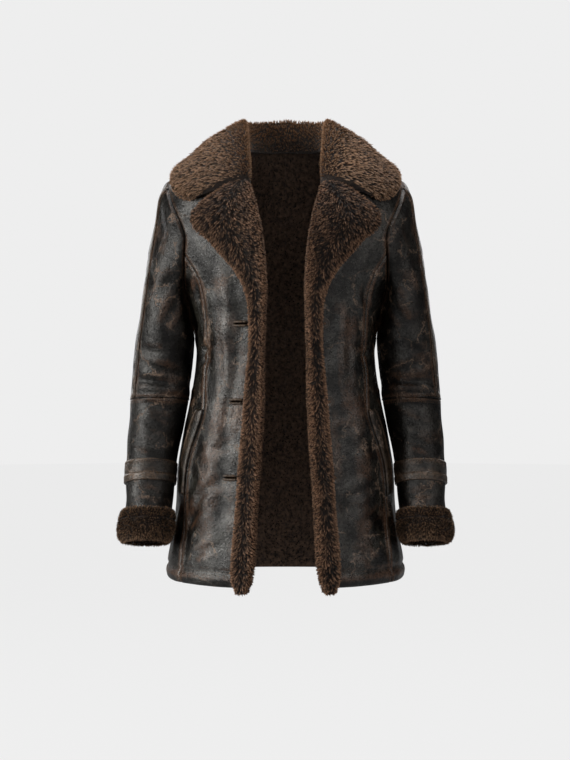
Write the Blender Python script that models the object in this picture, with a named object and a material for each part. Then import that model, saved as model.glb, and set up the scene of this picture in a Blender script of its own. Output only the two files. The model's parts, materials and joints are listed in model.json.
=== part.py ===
"""A woman's hip-length shearling coat, worn open and seen from the front.

The body is one surface, torso(angle, level), cut into panels along its seams. Every other piece is made from
points of that surface or of the sleeve's surface, moved out by its own thickness. Lengths below are in millimetres
and angles in degrees. X runs to the wearer's left, -Y is the front and Z is up. The origin lies between the shoulders.
"""

import math

import bmesh
import bpy
import numpy as np

METRES_PER_MM = 0.001

# Skins and seams.
WALL = 7.0  # leather with the short wool on its back
SEAM_GAP = 0.3  # between two pieces that are sewn together
LAID_ON = 0.5  # between a panel and what lies on it
UNDER_SMALL_PIECE = 0.2  # between a panel's smooth curve and a small flat piece that is sewn on it
SHARP_ANGLE = 50.0  # an edge that turns more than this is shaded sharp

# The body's sections, from the hem up. level names the section. The heights are where it crosses the side, the
# middle of the front and the middle of the back, which part above the chest, where the sections tilt to the neck.
# side_y is how far behind the middle the side seam hangs.
SECTION_COLUMNS = ("level", "half_width", "front", "back", "side_y", "side_z", "front_z", "back_z")
SECTIONS = (
    (-735, 205.0, 131, 138, 26, -735, -735, -735),
    (-700, 203.0, 130, 137, 26, -700, -700, -700),
    (-660, 195.0, 127, 134, 26, -660, -660, -660),
    (-610, 189.0, 124, 131, 26, -610, -610, -610),
    (-545, 186.0, 121, 127, 24, -545, -545, -545),
    (-500, 178.0, 119, 122, 20, -500, -500, -500),
    (-445, 167.0, 117, 115, 14, -445, -445, -445),
    (-400, 157.5, 116, 109, 8, -400, -400, -400),
    (-345, 152.0, 117, 106, 3, -345, -345, -345),
    (-300, 155.5, 122, 110, 0, -300, -300, -300),
    (-258, 166.0, 128, 117, 0, -258, -258, -258),
    (-220, 184.0, 132, 122, 0, -220, -220, -220),
    (-175, 206.0, 134, 124, 0, -175, -175, -175),
    (-130, 212.0, 131, 121, 0, -125, -137, -125),
    (-95, 208.0, 125, 114, 0, -88, -114, -85),
    (-58, 190.0, 118, 102, 0, -50, -95, -52),
    (-40, 160.0, 113, 94, 0, -34, -86, -32),
    (-20, 116.0, 107, 84, 0, -12, -76, -10),
    (0, 76.0, 98, 74, 0, 8, -66, 10),
)
LEVEL_SECTIONS_TOP = -175.0  # the sections are level up to here
SECTION_POWER = 2.3  # 2 is an ellipse, more is squarer
SIDE, BACK = 90.0, 180.0  # the angle of the side and shoulder seams, and of the centre-back seam

# Soft troughs in the hanging coat: where the middle of each lies, how far it reaches and how deep it is.
# Columns: angle, level, half_angle, half_height, depth.
FOLDS = (
    (113, -590, 9, 120, 5.0), (146, -620, 11, 105, 4.5), (168, -348, 12, 42, 3.5), (130, -322, 20, 24, 4.0),
    (137, -372, 16, 20, 3.0), (62, -352, 14, 26, 3.0), (58, -655, 9, 60, 3.0), (150, -215, 14, 60, 3.0),
)

# The armhole is an oval round the side seam, from the underarm to the shoulder point.
ARMHOLE_LEVEL = -158.0
ARMHOLE_HALF = 100.0
ARMHOLE_FRONT_ANGLE = 40.0
ARMHOLE_BACK_ANGLE = 36.0
SLEEVE_COLUMNS = 20
UNDERARM = ARMHOLE_LEVEL - ARMHOLE_HALF

# Rows of the panels' grids. Those between the underarm and the shoulder fall on the sleeve's columns.
HEM = -735
LOWER_LEVELS = (HEM, -700, -660, -615, -572, -543, -512, -482, -453, -420, -385, -345, -300)
ARMHOLE_LEVELS = tuple(
    ARMHOLE_LEVEL - ARMHOLE_HALF * math.cos(2 * math.pi * k / SLEEVE_COLUMNS)
    for k in range(SLEEVE_COLUMNS // 2 + 1)
)
NECK_LEVELS = (-44, -28, -14, -6, 0)
LEVELS = LOWER_LEVELS + ARMHOLE_LEVELS + NECK_LEVELS

# The princess seam leaves the front of the armhole, follows the bust and the pocket, and drops to the hem.
PRINCESS_TOP = ARMHOLE_LEVELS[4]
PRINCESS_TOP_WIDTH = 0.8  # degrees that the side panel's tip keeps there
PRINCESS_COLUMNS = ("z", "x")
PRINCESS = (
    (-735, 177.7), (-660, 174.4), (-600, 170.0), (-543, 165.0), (-512, 157.5), (-482, 147.0), (-453, 137.5),
    (-400, 136.3), (-345, 132.8), (-288, 133.6), (-258, 136.6), (-239, 141.0), (-217, 149.5),
)

# The turned-back wool of the front edge: a lapel above the waist and a band below it.
FACING_COLUMNS = ("z", "inner_x", "outer_x")
FACING = (
    (-75, 56.0, 76.0), (-82, 54.0, 101.0), (-94, 51.0, 121.5), (-106, 47.5, 137.5), (-118, 44.5, 149.5),
    (-129, 42.0, 152.5), (-140, 40.0, 151.0), (-152, 37.5, 143.0), (-166, 35.5, 127.0), (-180, 33.5, 114.5),
    (-196, 32.0, 101.0), (-212, 31.0, 87.0), (-226, 30.0, 78.0), (-240, 29.0, 70.5), (-264, 29.5, 63.5),
    (-288, 30.5, 61.0), (-318, 31.5, 60.5), (-345, 33.0, 61.0), (-372, 33.0, 63.5), (-400, 33.0, 66.0),
    (-427, 33.5, 68.0), (-453, 34.5, 70.0), (-482, 36.0, 72.0), (-512, 38.0, 75.0), (-543, 40.0, 77.5),
    (-572, 42.0, 79.0), (-600, 43.5, 80.5), (-630, 45.0, 83.0), (-660, 46.5, 86.0), (-690, 48.0, 88.0),
    (-712, 50.5, 89.0), (-726, 53.0, 87.5), (-733, 56.5, 84.5),
)
# Its rounded end below the hem. Columns: how far down as a share of FACING_BELOW_HEM, and the section's size there.
FACING_END = ((0.5, 0.95), (1.0, 0.6))
EDGE_INSIDE_FACING = 7.0  # the leather's edge lies this far in from the wool's
FACING_PILE = 17.0
FACING_BELOW_HEM = 10.0
# Round the facing's section. Columns: how far across, from 0 at its inner edge to 1, a shift in mm, and the height.
FACING_SECTION = (
    (0.0, 6.1, -WALL), (0.0, 6.1, LAID_ON), (0.4, 4.0, 1.4), (0.75, 0.0, 1.6), (1.0, -2.5, 1.0),
    (1.0, 0.0, 6.0), (1.0, -3.5, 0.78 * FACING_PILE), (0.7, 0.0, FACING_PILE), (0.35, 0.0, FACING_PILE + 1.0),
    (0.0, 4.5, 0.8 * FACING_PILE), (0.0, 0.0, 5.0), (0.0, 0.5, -3.0), (0.0, 3.0, -WALL),
)
NECKLINE_COLUMNS = ("level", "x")
NECKLINE = ((-28, 64.0), (-14, 66.5), (0, 72.5))

# The collar, from the notch round to the middle of the back. Its front rows are placed in the front view, its back
# rows by angle along the neckline.
# Columns: neck_x, neck_z, edge_x, edge_z.
COLLAR_FRONT = (
    (63.0, -69, 150, -102.5), (63.0, -60, 166, -101.5), (64.0, -46, 180, -91), (66.5, -28, 187, -80),
    (69.0, -14, 190, -70),
)
# Columns: neck_angle, edge_angle, edge_level.
COLLAR_BACK = (
    (72, 84, -62), (82, 91, -60), (93, 99, -58), (106, 109, -56), (119, 121, -54), (133, 134, -52),
    (148, 148, -50), (164, 164, -49), (180, 180, -48),
)
COLLAR_STAND = (45.0, 56.0)  # how far it rises above the neckline at the sides and at the back
COLLAR_STAND_WALL = 13.0
COLLAR_NOTCH_RISE, COLLAR_NOTCH_WALL = 19.0, 6.0  # the same two sizes at the notch, where the collar lies flat
COLLAR_NOTCH_PILE = 0.72  # its wool's height there, as a share of the height round the neck
COLLAR_FOOT_IN, COLLAR_FOOT_DROP = 4.0, 5.0  # the foot's place inside the neckline
COLLAR_FACES_Y = 10.0  # the line that the stand faces, between the neck's front and back
# Round the collar's fall. Columns: how far from the neckline, 0, to the edge, 1, and the height off the coat.
COLLAR_FALL = (
    (0.0, 1.45), (0.07, 2.0), (0.3, 2.4), (0.6, 2.8), (0.85, 3.2), (0.97, 4.6), (1.0, 9.0), (0.95, 15.5),
    (0.82, 20.5), (0.62, 24.0), (0.4, 27.0), (0.2, 31.0),
)
COLLAR_UNDERSIDE_MOST = 5.0  # heights in that table up to this one are the underside's
# Over the stand's top and down its inside. Columns: share of the stand's height, a drop in mm, share of its wall.
COLLAR_CREST = ((1.0, 0.0, 0.15), (1.0, 1.5, 0.7), (1.0, 9.0, 1.05), (0.45, 0.0, 1.1))

# The sleeve. Two rings lead from the armhole to the level rings of the arm, which lean forward below the elbow.
SLEEVE_HEAD_CENTRE = (197.0, 0.0, -209.0)
SLEEVE_HEAD_UP = (29.0, 0.0, 74.0)  # from that ring's centre to its top
SLEEVE_HEAD_HALF_DEPTH = 72.0
# How the sleeve leaves the armhole: the direction at its front and back, what is added to it times the column's
# cosine, which is 1 over the shoulder and -1 under the arm, and what is added times the cosine's square.
SLEEVE_LEAVES = ((30.0, 0.0, -45.0), (26.0, 0.0, -5.0), (19.0, 0.0, 28.0))
SLEEVE_LEAVES_FORWARD = 12.0
SLEEVE_COLUMN_NAMES = ("z", "centre_x", "centre_y", "half_width", "half_depth", "lean")
SLEEVE_RINGS = (
    (-330, 207.5, 3.0, 50.0, 62.0, 0.0),
    (-370, 211.5, 6.0, 50.2, 60.0, 0.0),
    (-404, 215.0, 8.0, 50.7, 58.0, 2.0),
    (-430, 217.5, 8.0, 49.8, 56.5, 6.0),
    (-460, 221.0, 4.5, 47.6, 54.5, 10.0),
    (-500, 226.0, -3.0, 44.6, 51.5, 13.0),
    (-538, 229.5, -12.0, 42.2, 48.5, 14.0),
    (-573, 231.0, -20.5, 40.8, 46.5, 14.0),
    (-608, 232.5, -29.0, 39.6, 44.5, 14.0),
    (-655, 237.0, -41.0, 39.4, 44.0, 14.0),
)
SLEEVE_END = -655.0
# The sleeve's creases round the elbow. Columns: turn round the arm, z, half_turn, half_height, depth.
ARM_FOLDS = (
    (100, -390, 75, 16, 4.0), (80, -420, 60, 13, 2.5), (205, -404, 60, 16, 3.0), (60, -362, 50, 15, 2.0),
    (110, -466, 60, 16, 2.5),
)
# From 0 at the armhole to 1 at the head's ring, and on towards 2 at the arm's first level ring.
HEAD_STATIONS = (0, 0.15, 0.35, 0.6, 0.8, 1.0, 1.3, 1.6)
UPPER_SLEEVE_ROWS = (-330, -350, -370, -387, -404, -417, -430)
FOREARM_ROWS = (-430, -452, -480, -508, -538, -573, -600, -628, -655)
STRAP_ROWS = (-538, -573)
STRAP_THICKNESS = 2.6
OVERARM_COLUMN = 2  # the seam that runs down the arm's outer front
UNDERARM_COLUMN = SLEEVE_COLUMNS // 2
OVERARM_STRIP_WIDTH = 7.0
OVERARM_STRIP_THICKNESS = 2.2
OVERARM_STRIP_END = 0.5  # above the elbow's seam
# Round the turned-back cuff. Columns: height along the sleeve and how far out from its leather.
CUFF_SECTION = (
    (-619, 0.7), (-616, 4.0), (-622, 8.5), (-641, 11.0), (-658, 9.5), (-669, 4.5), (-672, -2.0), (-668, -8.0),
    (-661, -9.0), (-656, -7.5), (-656, 0.7),
)

# The pocket's welt stands on the side panel, sewn in with the princess seam.
WELT_COLUMNS = ("z", "free_x")
WELT = ((-444, 148.0), (-453, 153.0), (-482, 163.0), (-512, 170.5), (-543, 176.5), (-572, 178.5), (-592, 178.0))
WELT_THICKNESS = 4.5
WELT_FROM_SEAM = 0.6

# Fastenings: bound buttonholes on the wearer's right front and buttons on the left.
FASTENING_HEIGHTS = (-303.0, -431.0, -556.0)
BUTTONHOLE_LENGTH, BUTTONHOLE_WIDTH, BUTTONHOLE_THICKNESS = 25.0, 10.0, 1.8
BUTTONHOLE_SLIT_LENGTH, BUTTONHOLE_SLIT_WIDTH = 20.0, 1.8
BUTTONHOLE_SIDES = 16
BUTTONHOLE_ROUNDNESS = 0.35  # 1 is an oval, less is squarer
# Round one lip. Columns: whether it is on the slit, the outline's scale, and the share of the thickness.
BUTTONHOLE_SECTION = ((False, 1.0, 0.0), (False, 1.0, 0.7), (False, 0.93, 1.0), (True, 1.15, 1.0), (True, 1.0, 0.0))
BUTTONHOLE_FROM_FACING = 13.5  # to its middle
BUTTON_RADIUS, BUTTON_THICKNESS, BUTTON_SIDES = 9.0, 3.6, 20
# From the back's edge over the rim to the sunk middle. Columns: radius, height.
BUTTON_PROFILE = (
    (6.5, 0.0), (BUTTON_RADIUS, 1.4), (BUTTON_RADIUS, 3.0), (8.3, BUTTON_THICKNESS), (7.0, BUTTON_THICKNESS),
    (6.2, 2.4), (1.5, 2.4),
)
BUTTON_FROM_FACING = 2.5  # to its middle, so the wool's edge covers part of it
BUTTON_CLEARANCE = 1.2
BUTTON_HOLLOW_BELOW = 2.0

MATERIALS = {
    "leather": ((0.035, 0.025, 0.020), 0.48),
    "leather_trim": ((0.060, 0.036, 0.026), 0.50),
    "wool": ((0.110, 0.068, 0.046), 0.95),
    "horn": ((0.020, 0.014, 0.011), 0.35),
}


def smooth_curve(xs, ys):
    """A function through the points (xs, ys), with no overshoot between them."""
    xs, ys = np.asarray(xs, float), np.asarray(ys, float)
    steps = np.diff(ys) / np.diff(xs)
    slopes = np.concatenate([steps[:1], (steps[1:] + steps[:-1]) / 2, steps[-1:]])
    flat = np.concatenate([[False], steps[1:] * steps[:-1] <= 0, [False]])
    slopes[flat] = 0

    def value(x):
        i = int(np.clip(np.searchsorted(xs, x) - 1, 0, len(xs) - 2))
        width = xs[i + 1] - xs[i]
        t = min(max((x - xs[i]) / width, 0.0), 1.0)
        rise = ys[i] * (1 + 2 * t) * (1 - t) ** 2 + ys[i + 1] * t * t * (3 - 2 * t)
        return rise + width * (slopes[i] * t * (1 - t) ** 2 - slopes[i + 1] * t * t * (1 - t))

    return value


def columns_of(table, key, names):
    """A smooth function of the column called key for each other column, by name."""
    rows = sorted(table, key=lambda row: row[names.index(key)])
    keys = [row[names.index(key)] for row in rows]
    return {
        name: smooth_curve(keys, [row[names.index(name)] for row in rows])
        for name in names
        if name != key
    }


def unit(vector):
    return vector / np.linalg.norm(vector)


section = columns_of(SECTIONS, "level", SECTION_COLUMNS)
princess = columns_of(PRINCESS, "z", PRINCESS_COLUMNS)
facing = columns_of(FACING, "z", FACING_COLUMNS)
neckline = columns_of(NECKLINE, "level", NECKLINE_COLUMNS)
welt = columns_of(WELT, "z", WELT_COLUMNS)
sleeve = columns_of(SLEEVE_RINGS, "z", SLEEVE_COLUMN_NAMES)


# ---- the body's surface ----


def trough(across, along):
    """A smooth hollow's depth as a share of its deepest, at shares of its reach across and along."""
    return max(0.0, 1 - across**2) ** 2 * max(0.0, 1 - along**2) ** 2


def fold_depth(angle, level):
    return sum(
        depth * trough((angle - at_angle) / half_angle, (level - at_level) / half_height)
        for at_angle, at_level, half_angle, half_height, depth in FOLDS
    )


def torso(angle, level):
    """A point of the coat's outside, on the wearer's left: angle 0 is the front's middle and 90 the side."""
    sine, cosine = math.sin(math.radians(angle)), math.cos(math.radians(angle))
    depth = section["front"](level) if cosine > 0 else section["back"](level)
    middle_z = section["front_z"](level) if cosine > 0 else section["back_z"](level)
    fold = fold_depth(angle, level)
    x = (section["half_width"](level) - fold) * abs(sine) ** (2 / SECTION_POWER)
    y = -math.copysign((depth - fold) * abs(cosine) ** (2 / SECTION_POWER), cosine)
    y += section["side_y"](level) * sine**2
    z = section["side_z"](level) * sine**2 + middle_z * cosine**2
    return np.array([x, y, z])


def torso_normal(angle, level):
    """The outward direction there, from the surface's slopes."""
    turn, rise = 0.5, 1.0
    around = torso(min(angle + turn, BACK - 0.01), level) - torso(max(angle - turn, 0.01), level)
    low, high = max(level - rise, SECTIONS[0][0]), min(level + rise, 0)
    upward = torso(angle, high) - torso(angle, low)
    return unit(np.cross(around, upward))


def angle_at(x, level):
    """The angle on the front at which the section called level is x from the middle."""
    share = min(x / section["half_width"](level), 1.0)
    return math.degrees(math.asin(share ** (SECTION_POWER / 2)))


def on_front(x, z):
    """The angle and level of the front's point at x and z in the front view."""
    if z <= LEVEL_SECTIONS_TOP:
        return angle_at(x, z), z
    low, high = LEVEL_SECTIONS_TOP, 0.0
    for _ in range(30):
        level = (low + high) / 2
        if x <= section["half_width"](level) and torso(angle_at(x, level), level)[2] < z:
            low = level
        else:
            high = level
    return angle_at(x, level), level


def above_torso(angle, level, out):
    return torso(angle, level) + torso_normal(angle, level) * out


# ---- seams ----


def armhole_spread(level):
    """How far the armhole reaches from the side seam at this level, as a share of its widest."""
    share = min(abs(level - ARMHOLE_LEVEL) / ARMHOLE_HALF, 1.0)
    # An ellipse has the powers 2 and 0.5. These draw the oval's ends out a little.
    return (1 - share**1.6) ** 0.8


def front_armhole(level):
    return SIDE - ARMHOLE_FRONT_ANGLE * armhole_spread(level)


def back_armhole(level):
    return SIDE + ARMHOLE_BACK_ANGLE * armhole_spread(level)


def princess_angle(level):
    if level >= PRINCESS_TOP - 1:
        return front_armhole(PRINCESS_TOP) - PRINCESS_TOP_WIDTH
    return angle_at(princess["x"](level), level)


def front_edge_angle(level):
    """The leather's front edge, just inside the wool facing, and above that the neckline."""
    if level >= NECKLINE[0][0]:
        return angle_at(neckline["x"](level), level)
    z = section["front_z"](level)
    for _ in range(6):
        angle = angle_at(facing["inner_x"](z) + EDGE_INSIDE_FACING, level)
        z = torso(angle, level)[2]
    return angle


def front_outer_angle(level):
    if level <= PRINCESS_TOP:
        return princess_angle(level)
    return front_armhole(level)


def side_outer_angle(level):
    return front_armhole(level) if level > UNDERARM else SIDE


# ---- solids ----


def material(name):
    colour, roughness = MATERIALS[name]
    made = bpy.data.materials.get(name) or bpy.data.materials.new(name)
    made.use_nodes = True
    made.diffuse_color = (*colour, 1)
    shader = made.node_tree.nodes["Principled BSDF"]
    shader.inputs["Base Color"].default_value = (*colour, 1)
    shader.inputs["Roughness"].default_value = roughness
    shader.inputs["Metallic"].default_value = 0
    return made


def solid(name, points, faces, finish):
    """An object from points in millimetres and faces of a closed surface, turned to face outwards."""
    mesh = bpy.data.meshes.new(name)
    mesh.from_pydata([tuple(point) for point in np.asarray(points) * METRES_PER_MM], [], faces)
    work = bmesh.new()
    work.from_mesh(mesh)
    bmesh.ops.recalc_face_normals(work, faces=work.faces)
    bmesh.ops.triangulate(work, faces=work.faces, quad_method="SHORT_EDGE")
    if work.calc_volume(signed=True) < 0:
        bmesh.ops.reverse_faces(work, faces=work.faces)
    work.to_mesh(mesh)
    work.free()
    mesh.shade_smooth()
    mesh.set_sharp_from_angle(angle=math.radians(SHARP_ANGLE))
    mesh.materials.append(material(finish))
    made = bpy.data.objects.new(name, mesh)
    bpy.context.scene.collection.objects.link(made)
    return made


def mirrored(points, side):
    return np.asarray(points) * (side, 1, 1)


def wall(name, outer, inner, finish):
    """A sheet's solid from its two faces, each a grid of rows by columns, with their edges joined."""
    rows, columns = outer.shape[:2]
    count = rows * columns
    index = np.arange(count).reshape(rows, columns)
    faces = []
    for r in range(rows - 1):
        for c in range(columns - 1):
            quad = (index[r, c], index[r, c + 1], index[r + 1, c + 1], index[r + 1, c])
            faces.append([int(i) for i in quad])
            faces.append([int(i) + count for i in reversed(quad)])
    rim = [*index[0, :], *index[1:, -1], *index[-1, -2::-1], *index[-2:0:-1, 0]]
    for a, b in zip(rim, rim[1:] + rim[:1]):
        faces.append([int(b), int(a), int(a) + count, int(b) + count])
    points = np.concatenate([outer.reshape(-1, 3), inner.reshape(-1, 3)])
    return solid(name, points, faces, finish)


def loft(name, rings, finish, closed=False):
    """A solid through a row of rings of points, capped at its ends unless it closes on itself."""
    rings = np.asarray(rings)
    count, size = rings.shape[:2]
    faces = []
    for r in range(count if closed else count - 1):
        here, there = r * size, (r + 1) % count * size
        for c in range(size):
            d = (c + 1) % size
            faces.append([here + c, here + d, there + d, there + c])
    if not closed:
        faces.append(list(range(size)))
        faces.append(list(range((count - 1) * size, count * size)))
    return solid(name, rings.reshape(-1, 3), faces, finish)


def drawn_in(grid, distance):
    """The grid with each of its four edges moved towards its middle by distance."""
    moved = grid.copy()
    for axis in (0, 1):
        lines = np.swapaxes(moved, 0, axis)
        for edge, inward in ((0, 1), (-1, -2)):
            step = lines[inward] - lines[edge]
            lines[edge] += step / np.linalg.norm(step, axis=-1, keepdims=True) * distance
    return moved


# ---- body ----


def panel(name, side, levels, first_angle, last_angle, columns):
    """A leather panel between two seams, each given as a function from level to angle."""
    shares = np.linspace(0, 1, columns + 1)
    outer = np.empty((len(levels), columns + 1, 3))
    normals = np.empty_like(outer)
    for r, level in enumerate(levels):
        for c, share in enumerate(shares):
            angle = first_angle(level) * (1 - share) + last_angle(level) * share
            outer[r, c] = torso(angle, level)
            normals[r, c] = torso_normal(angle, level)
    inner = outer - normals * WALL
    outer, inner = drawn_in(outer, SEAM_GAP / 2), drawn_in(inner, SEAM_GAP / 2)
    return wall(name, mirrored(outer, side), mirrored(inner, side), "leather")


def body(side, suffix):
    def outer_back(level):
        return back_armhole(level) if level > UNDERARM else SIDE

    panel(f"front_{suffix}", side, LEVELS, front_edge_angle, front_outer_angle, 6)
    side_levels = [level for level in LEVELS if level <= PRINCESS_TOP + 1]
    panel(f"side_front_{suffix}", side, side_levels, princess_angle, side_outer_angle, 4)
    panel(f"back_{suffix}", side, LEVELS, outer_back, lambda level: BACK, 7)


# ---- wool facing and collar ----


def facing_ring(z, inner_x, outer_x, drop=0.0, shrink=1.0):
    """The facing's section at one height: drop lowers it below the hem, and shrink rounds its end."""
    points = []
    middle = (inner_x + outer_x) / 2
    for across, shift, out in FACING_SECTION:
        x = inner_x * (1 - across) + outer_x * across + shift
        x = middle + (x - middle) * shrink
        out = out if out <= LAID_ON else out * shrink
        points.append(above_torso(*on_front(x, z), out) - (0, 0, drop))
    return points


def front_facing(side, suffix):
    rings = [facing_ring(*row) for row in FACING]
    _, inner_x, outer_x = FACING[-1]
    for down, size in FACING_END:
        rings.append(facing_ring(HEM + SEAM_GAP, inner_x + 1, outer_x - 1, down * FACING_BELOW_HEM, size))
    return loft(f"facing_{suffix}", mirrored(rings, side), "wool")


def collar_ring(neck, edge, turn):
    """The collar's section from the neckline to its edge. turn goes from 0 at the notch to 1 round the neck."""
    behind = max(0.0, neck[0] - SIDE) / (BACK - SIDE)
    stand = COLLAR_STAND[0] * (1 - behind) + COLLAR_STAND[1] * behind
    height = COLLAR_NOTCH_RISE * (1 - turn) + stand * turn
    stand_wall = COLLAR_NOTCH_WALL * (1 - turn) + COLLAR_STAND_WALL * turn
    pile = COLLAR_NOTCH_PILE * (1 - turn) + turn
    foot = torso(*neck)
    normal = torso_normal(*neck)
    inward = unit(np.array([-foot[0], COLLAR_FACES_Y - foot[1], 0.0]))
    inward = unit(inward * turn + np.array([-1.0, 0.0, 0.0]) * (1 - turn))
    rise = unit(normal * (1 - turn) + np.array([0.0, 0.0, 1.0]) * turn)
    under = foot + inward * COLLAR_FOOT_IN
    points = [foot + inward * stand_wall - rise * COLLAR_FOOT_DROP, under - normal * WALL, under + normal]
    for across, out in COLLAR_FALL:
        angle = neck[0] * (1 - across) + edge[0] * across
        level = neck[1] * (1 - across) + edge[1] * across
        points.append(above_torso(angle, level, out if out < COLLAR_UNDERSIDE_MOST else out * pile))
    for up, drop, across in COLLAR_CREST:
        points.append(foot + rise * (height * up - drop) + inward * stand_wall * across)
    return np.array(points)


def collar():
    half = []
    for i, (neck_x, neck_z, edge_x, edge_z) in enumerate(COLLAR_FRONT):
        # The power keeps the collar flat a little longer after the notch.
        turn = (i / len(COLLAR_FRONT)) ** 1.3
        half.append(collar_ring(on_front(neck_x, neck_z), on_front(edge_x, edge_z), turn))
    for neck_angle, edge_angle, edge_level in COLLAR_BACK:
        half.append(collar_ring((neck_angle, -0.5), (edge_angle, edge_level), 1.0))
    half[-1][:, 0] = 0
    left = [mirrored(ring, 1) for ring in half]
    right = [mirrored(ring, -1) for ring in half[-2::-1]]
    return loft("collar", left + right, "wool")


# ---- sleeves ----


def sleeve_angle(column):
    """0 at the arm's outside, 90 at its front and 180 at its inside."""
    return 2 * math.pi * (column % SLEEVE_COLUMNS) / SLEEVE_COLUMNS


def armhole_place(column):
    """The body's angle and level where this column of the sleeve starts."""
    level = ARMHOLE_LEVEL + ARMHOLE_HALF * math.cos(sleeve_angle(column))
    at_front = math.sin(sleeve_angle(column)) > 0
    return (front_armhole(level) if at_front else back_armhole(level)), level


def arm_point(column, z):
    """A point of a level ring of the arm."""
    turn, lean = sleeve_angle(column), math.radians(sleeve["lean"](z))
    fold = sum(
        depth * trough((math.degrees(turn) - at_turn) / half_turn, (z - at_z) / half_height)
        for at_turn, at_z, half_turn, half_height, depth in ARM_FOLDS
    )
    depth = (sleeve["half_depth"](z) - fold) * math.sin(turn)
    return np.array([
        sleeve["centre_x"](z) + (sleeve["half_width"](z) - fold) * math.cos(turn),
        sleeve["centre_y"](z) - depth * math.cos(lean),
        z + depth * math.sin(lean),
    ])


def head_point(column, station):
    """A point between the armhole, station 0, the head's ring, 1, and the first level ring, 2."""
    cosine, sine = math.cos(sleeve_angle(column)), math.sin(sleeve_angle(column))
    start = torso(*armhole_place(column)) + torso_normal(*armhole_place(column)) * max(0.0, -cosine)
    middle = np.array(SLEEVE_HEAD_CENTRE) + cosine * np.array(SLEEVE_HEAD_UP)
    middle = middle + sine * np.array([0.0, -SLEEVE_HEAD_HALF_DEPTH, 0.0])
    end, after = arm_point(column, UPPER_SLEEVE_ROWS[0]), arm_point(column, UPPER_SLEEVE_ROWS[2])
    steady, along, either_way = np.array(SLEEVE_LEAVES)
    leaving = steady + along * cosine + either_way * cosine**2 - np.array([0.0, SLEEVE_LEAVES_FORWARD, 0.0]) * sine
    passing = (end - start) / 2
    arriving = (after - middle) / 2
    if station <= 1:
        ends, slopes, t = (start, middle), (leaving, passing), station
    else:
        ends, slopes, t = (middle, end), (passing, arriving), station - 1
    place = ends[0] * (1 + 2 * t) * (1 - t) ** 2 + ends[1] * t * t * (3 - 2 * t)
    return place + slopes[0] * t * (1 - t) ** 2 - slopes[1] * t * t * (1 - t)


def grid_normals(grid):
    """Outward directions of a tube's grid, whose columns close on themselves."""
    around = np.roll(grid, -1, axis=1) - np.roll(grid, 1, axis=1)
    down = np.gradient(grid, axis=0)
    normals = np.cross(around, down)
    return normals / np.linalg.norm(normals, axis=-1, keepdims=True)


def sleeve_grids():
    """The upper sleeve's and the forearm's outer points and outward directions."""
    columns = range(SLEEVE_COLUMNS)
    head = [[head_point(c, station) for c in columns] for station in HEAD_STATIONS]
    level = [[arm_point(c, z) for c in columns] for z in UPPER_SLEEVE_ROWS]
    upper = np.array(head + level)
    forearm = np.array([[arm_point(c, z) for c in columns] for z in FOREARM_ROWS])
    upper_normals, forearm_normals = grid_normals(upper), grid_normals(forearm)
    # Both walls are cut square to the same direction at the elbow's seam.
    shared = upper_normals[-1] + forearm_normals[0]
    shared /= np.linalg.norm(shared, axis=-1, keepdims=True)
    upper_normals[-1] = forearm_normals[0] = shared
    for c in columns:
        # At the seam the sleeve's wall lies along the body's, except under the arm, where it turns down.
        downward = max(0.0, -math.cos(sleeve_angle(c))) ** 0.5
        start = torso_normal(*armhole_place(c)) * (1 - downward) + np.array([0.0, 0.0, -1.0]) * downward
        upper_normals[0, c] = unit(start)
    return (upper, upper_normals), (forearm, forearm_normals)


def columns_between(grid, first, last):
    return np.take(grid, range(first, last + 1), axis=1, mode="wrap")


def sleeve_panel(name, side, grids, first, last):
    outer = columns_between(grids[0], first, last)
    inner = outer - columns_between(grids[1], first, last) * WALL
    outer, inner = drawn_in(outer, SEAM_GAP / 2), drawn_in(inner, SEAM_GAP / 2)
    return wall(name, mirrored(outer, side), mirrored(inner, side), "leather")


def overarm_strip(name, side, grids):
    """A narrow strip over the seam that runs from the shoulder to the elbow."""
    points, normals = grids
    half = OVERARM_STRIP_WIDTH / 2
    rings = []
    for r in range(1, len(points)):
        middle = points[r, OVERARM_COLUMN]
        edges = [middle + unit(points[r, OVERARM_COLUMN + step] - middle) * half for step in (-1, 1)]
        out = normals[r, OVERARM_COLUMN]
        across = [edges[0], middle, edges[1]]
        ring = [place + out * LAID_ON for place in across]
        ring += [place + out * (LAID_ON + OVERARM_STRIP_THICKNESS) for place in reversed(across)]
        rings.append(ring)
    rings[-1] = [place + (0, 0, OVERARM_STRIP_END) for place in rings[-1]]
    return loft(name, mirrored(rings, side), "leather_trim")


def band_round_forearm(name, side, section_points, finish):
    """A ring round the forearm, from the heights along it and distances out from its leather."""
    rings = []
    for c in range(SLEEVE_COLUMNS):
        ring = []
        for z, out in section_points:
            middle = np.array([sleeve["centre_x"](z), sleeve["centre_y"](z), z])
            place = arm_point(c, max(z, SLEEVE_END)) + (0, 0, min(z - SLEEVE_END, 0))
            ring.append(place + unit(place - middle) * out)
        rings.append(ring)
    return loft(name, mirrored(rings, side), finish, closed=True)


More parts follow.
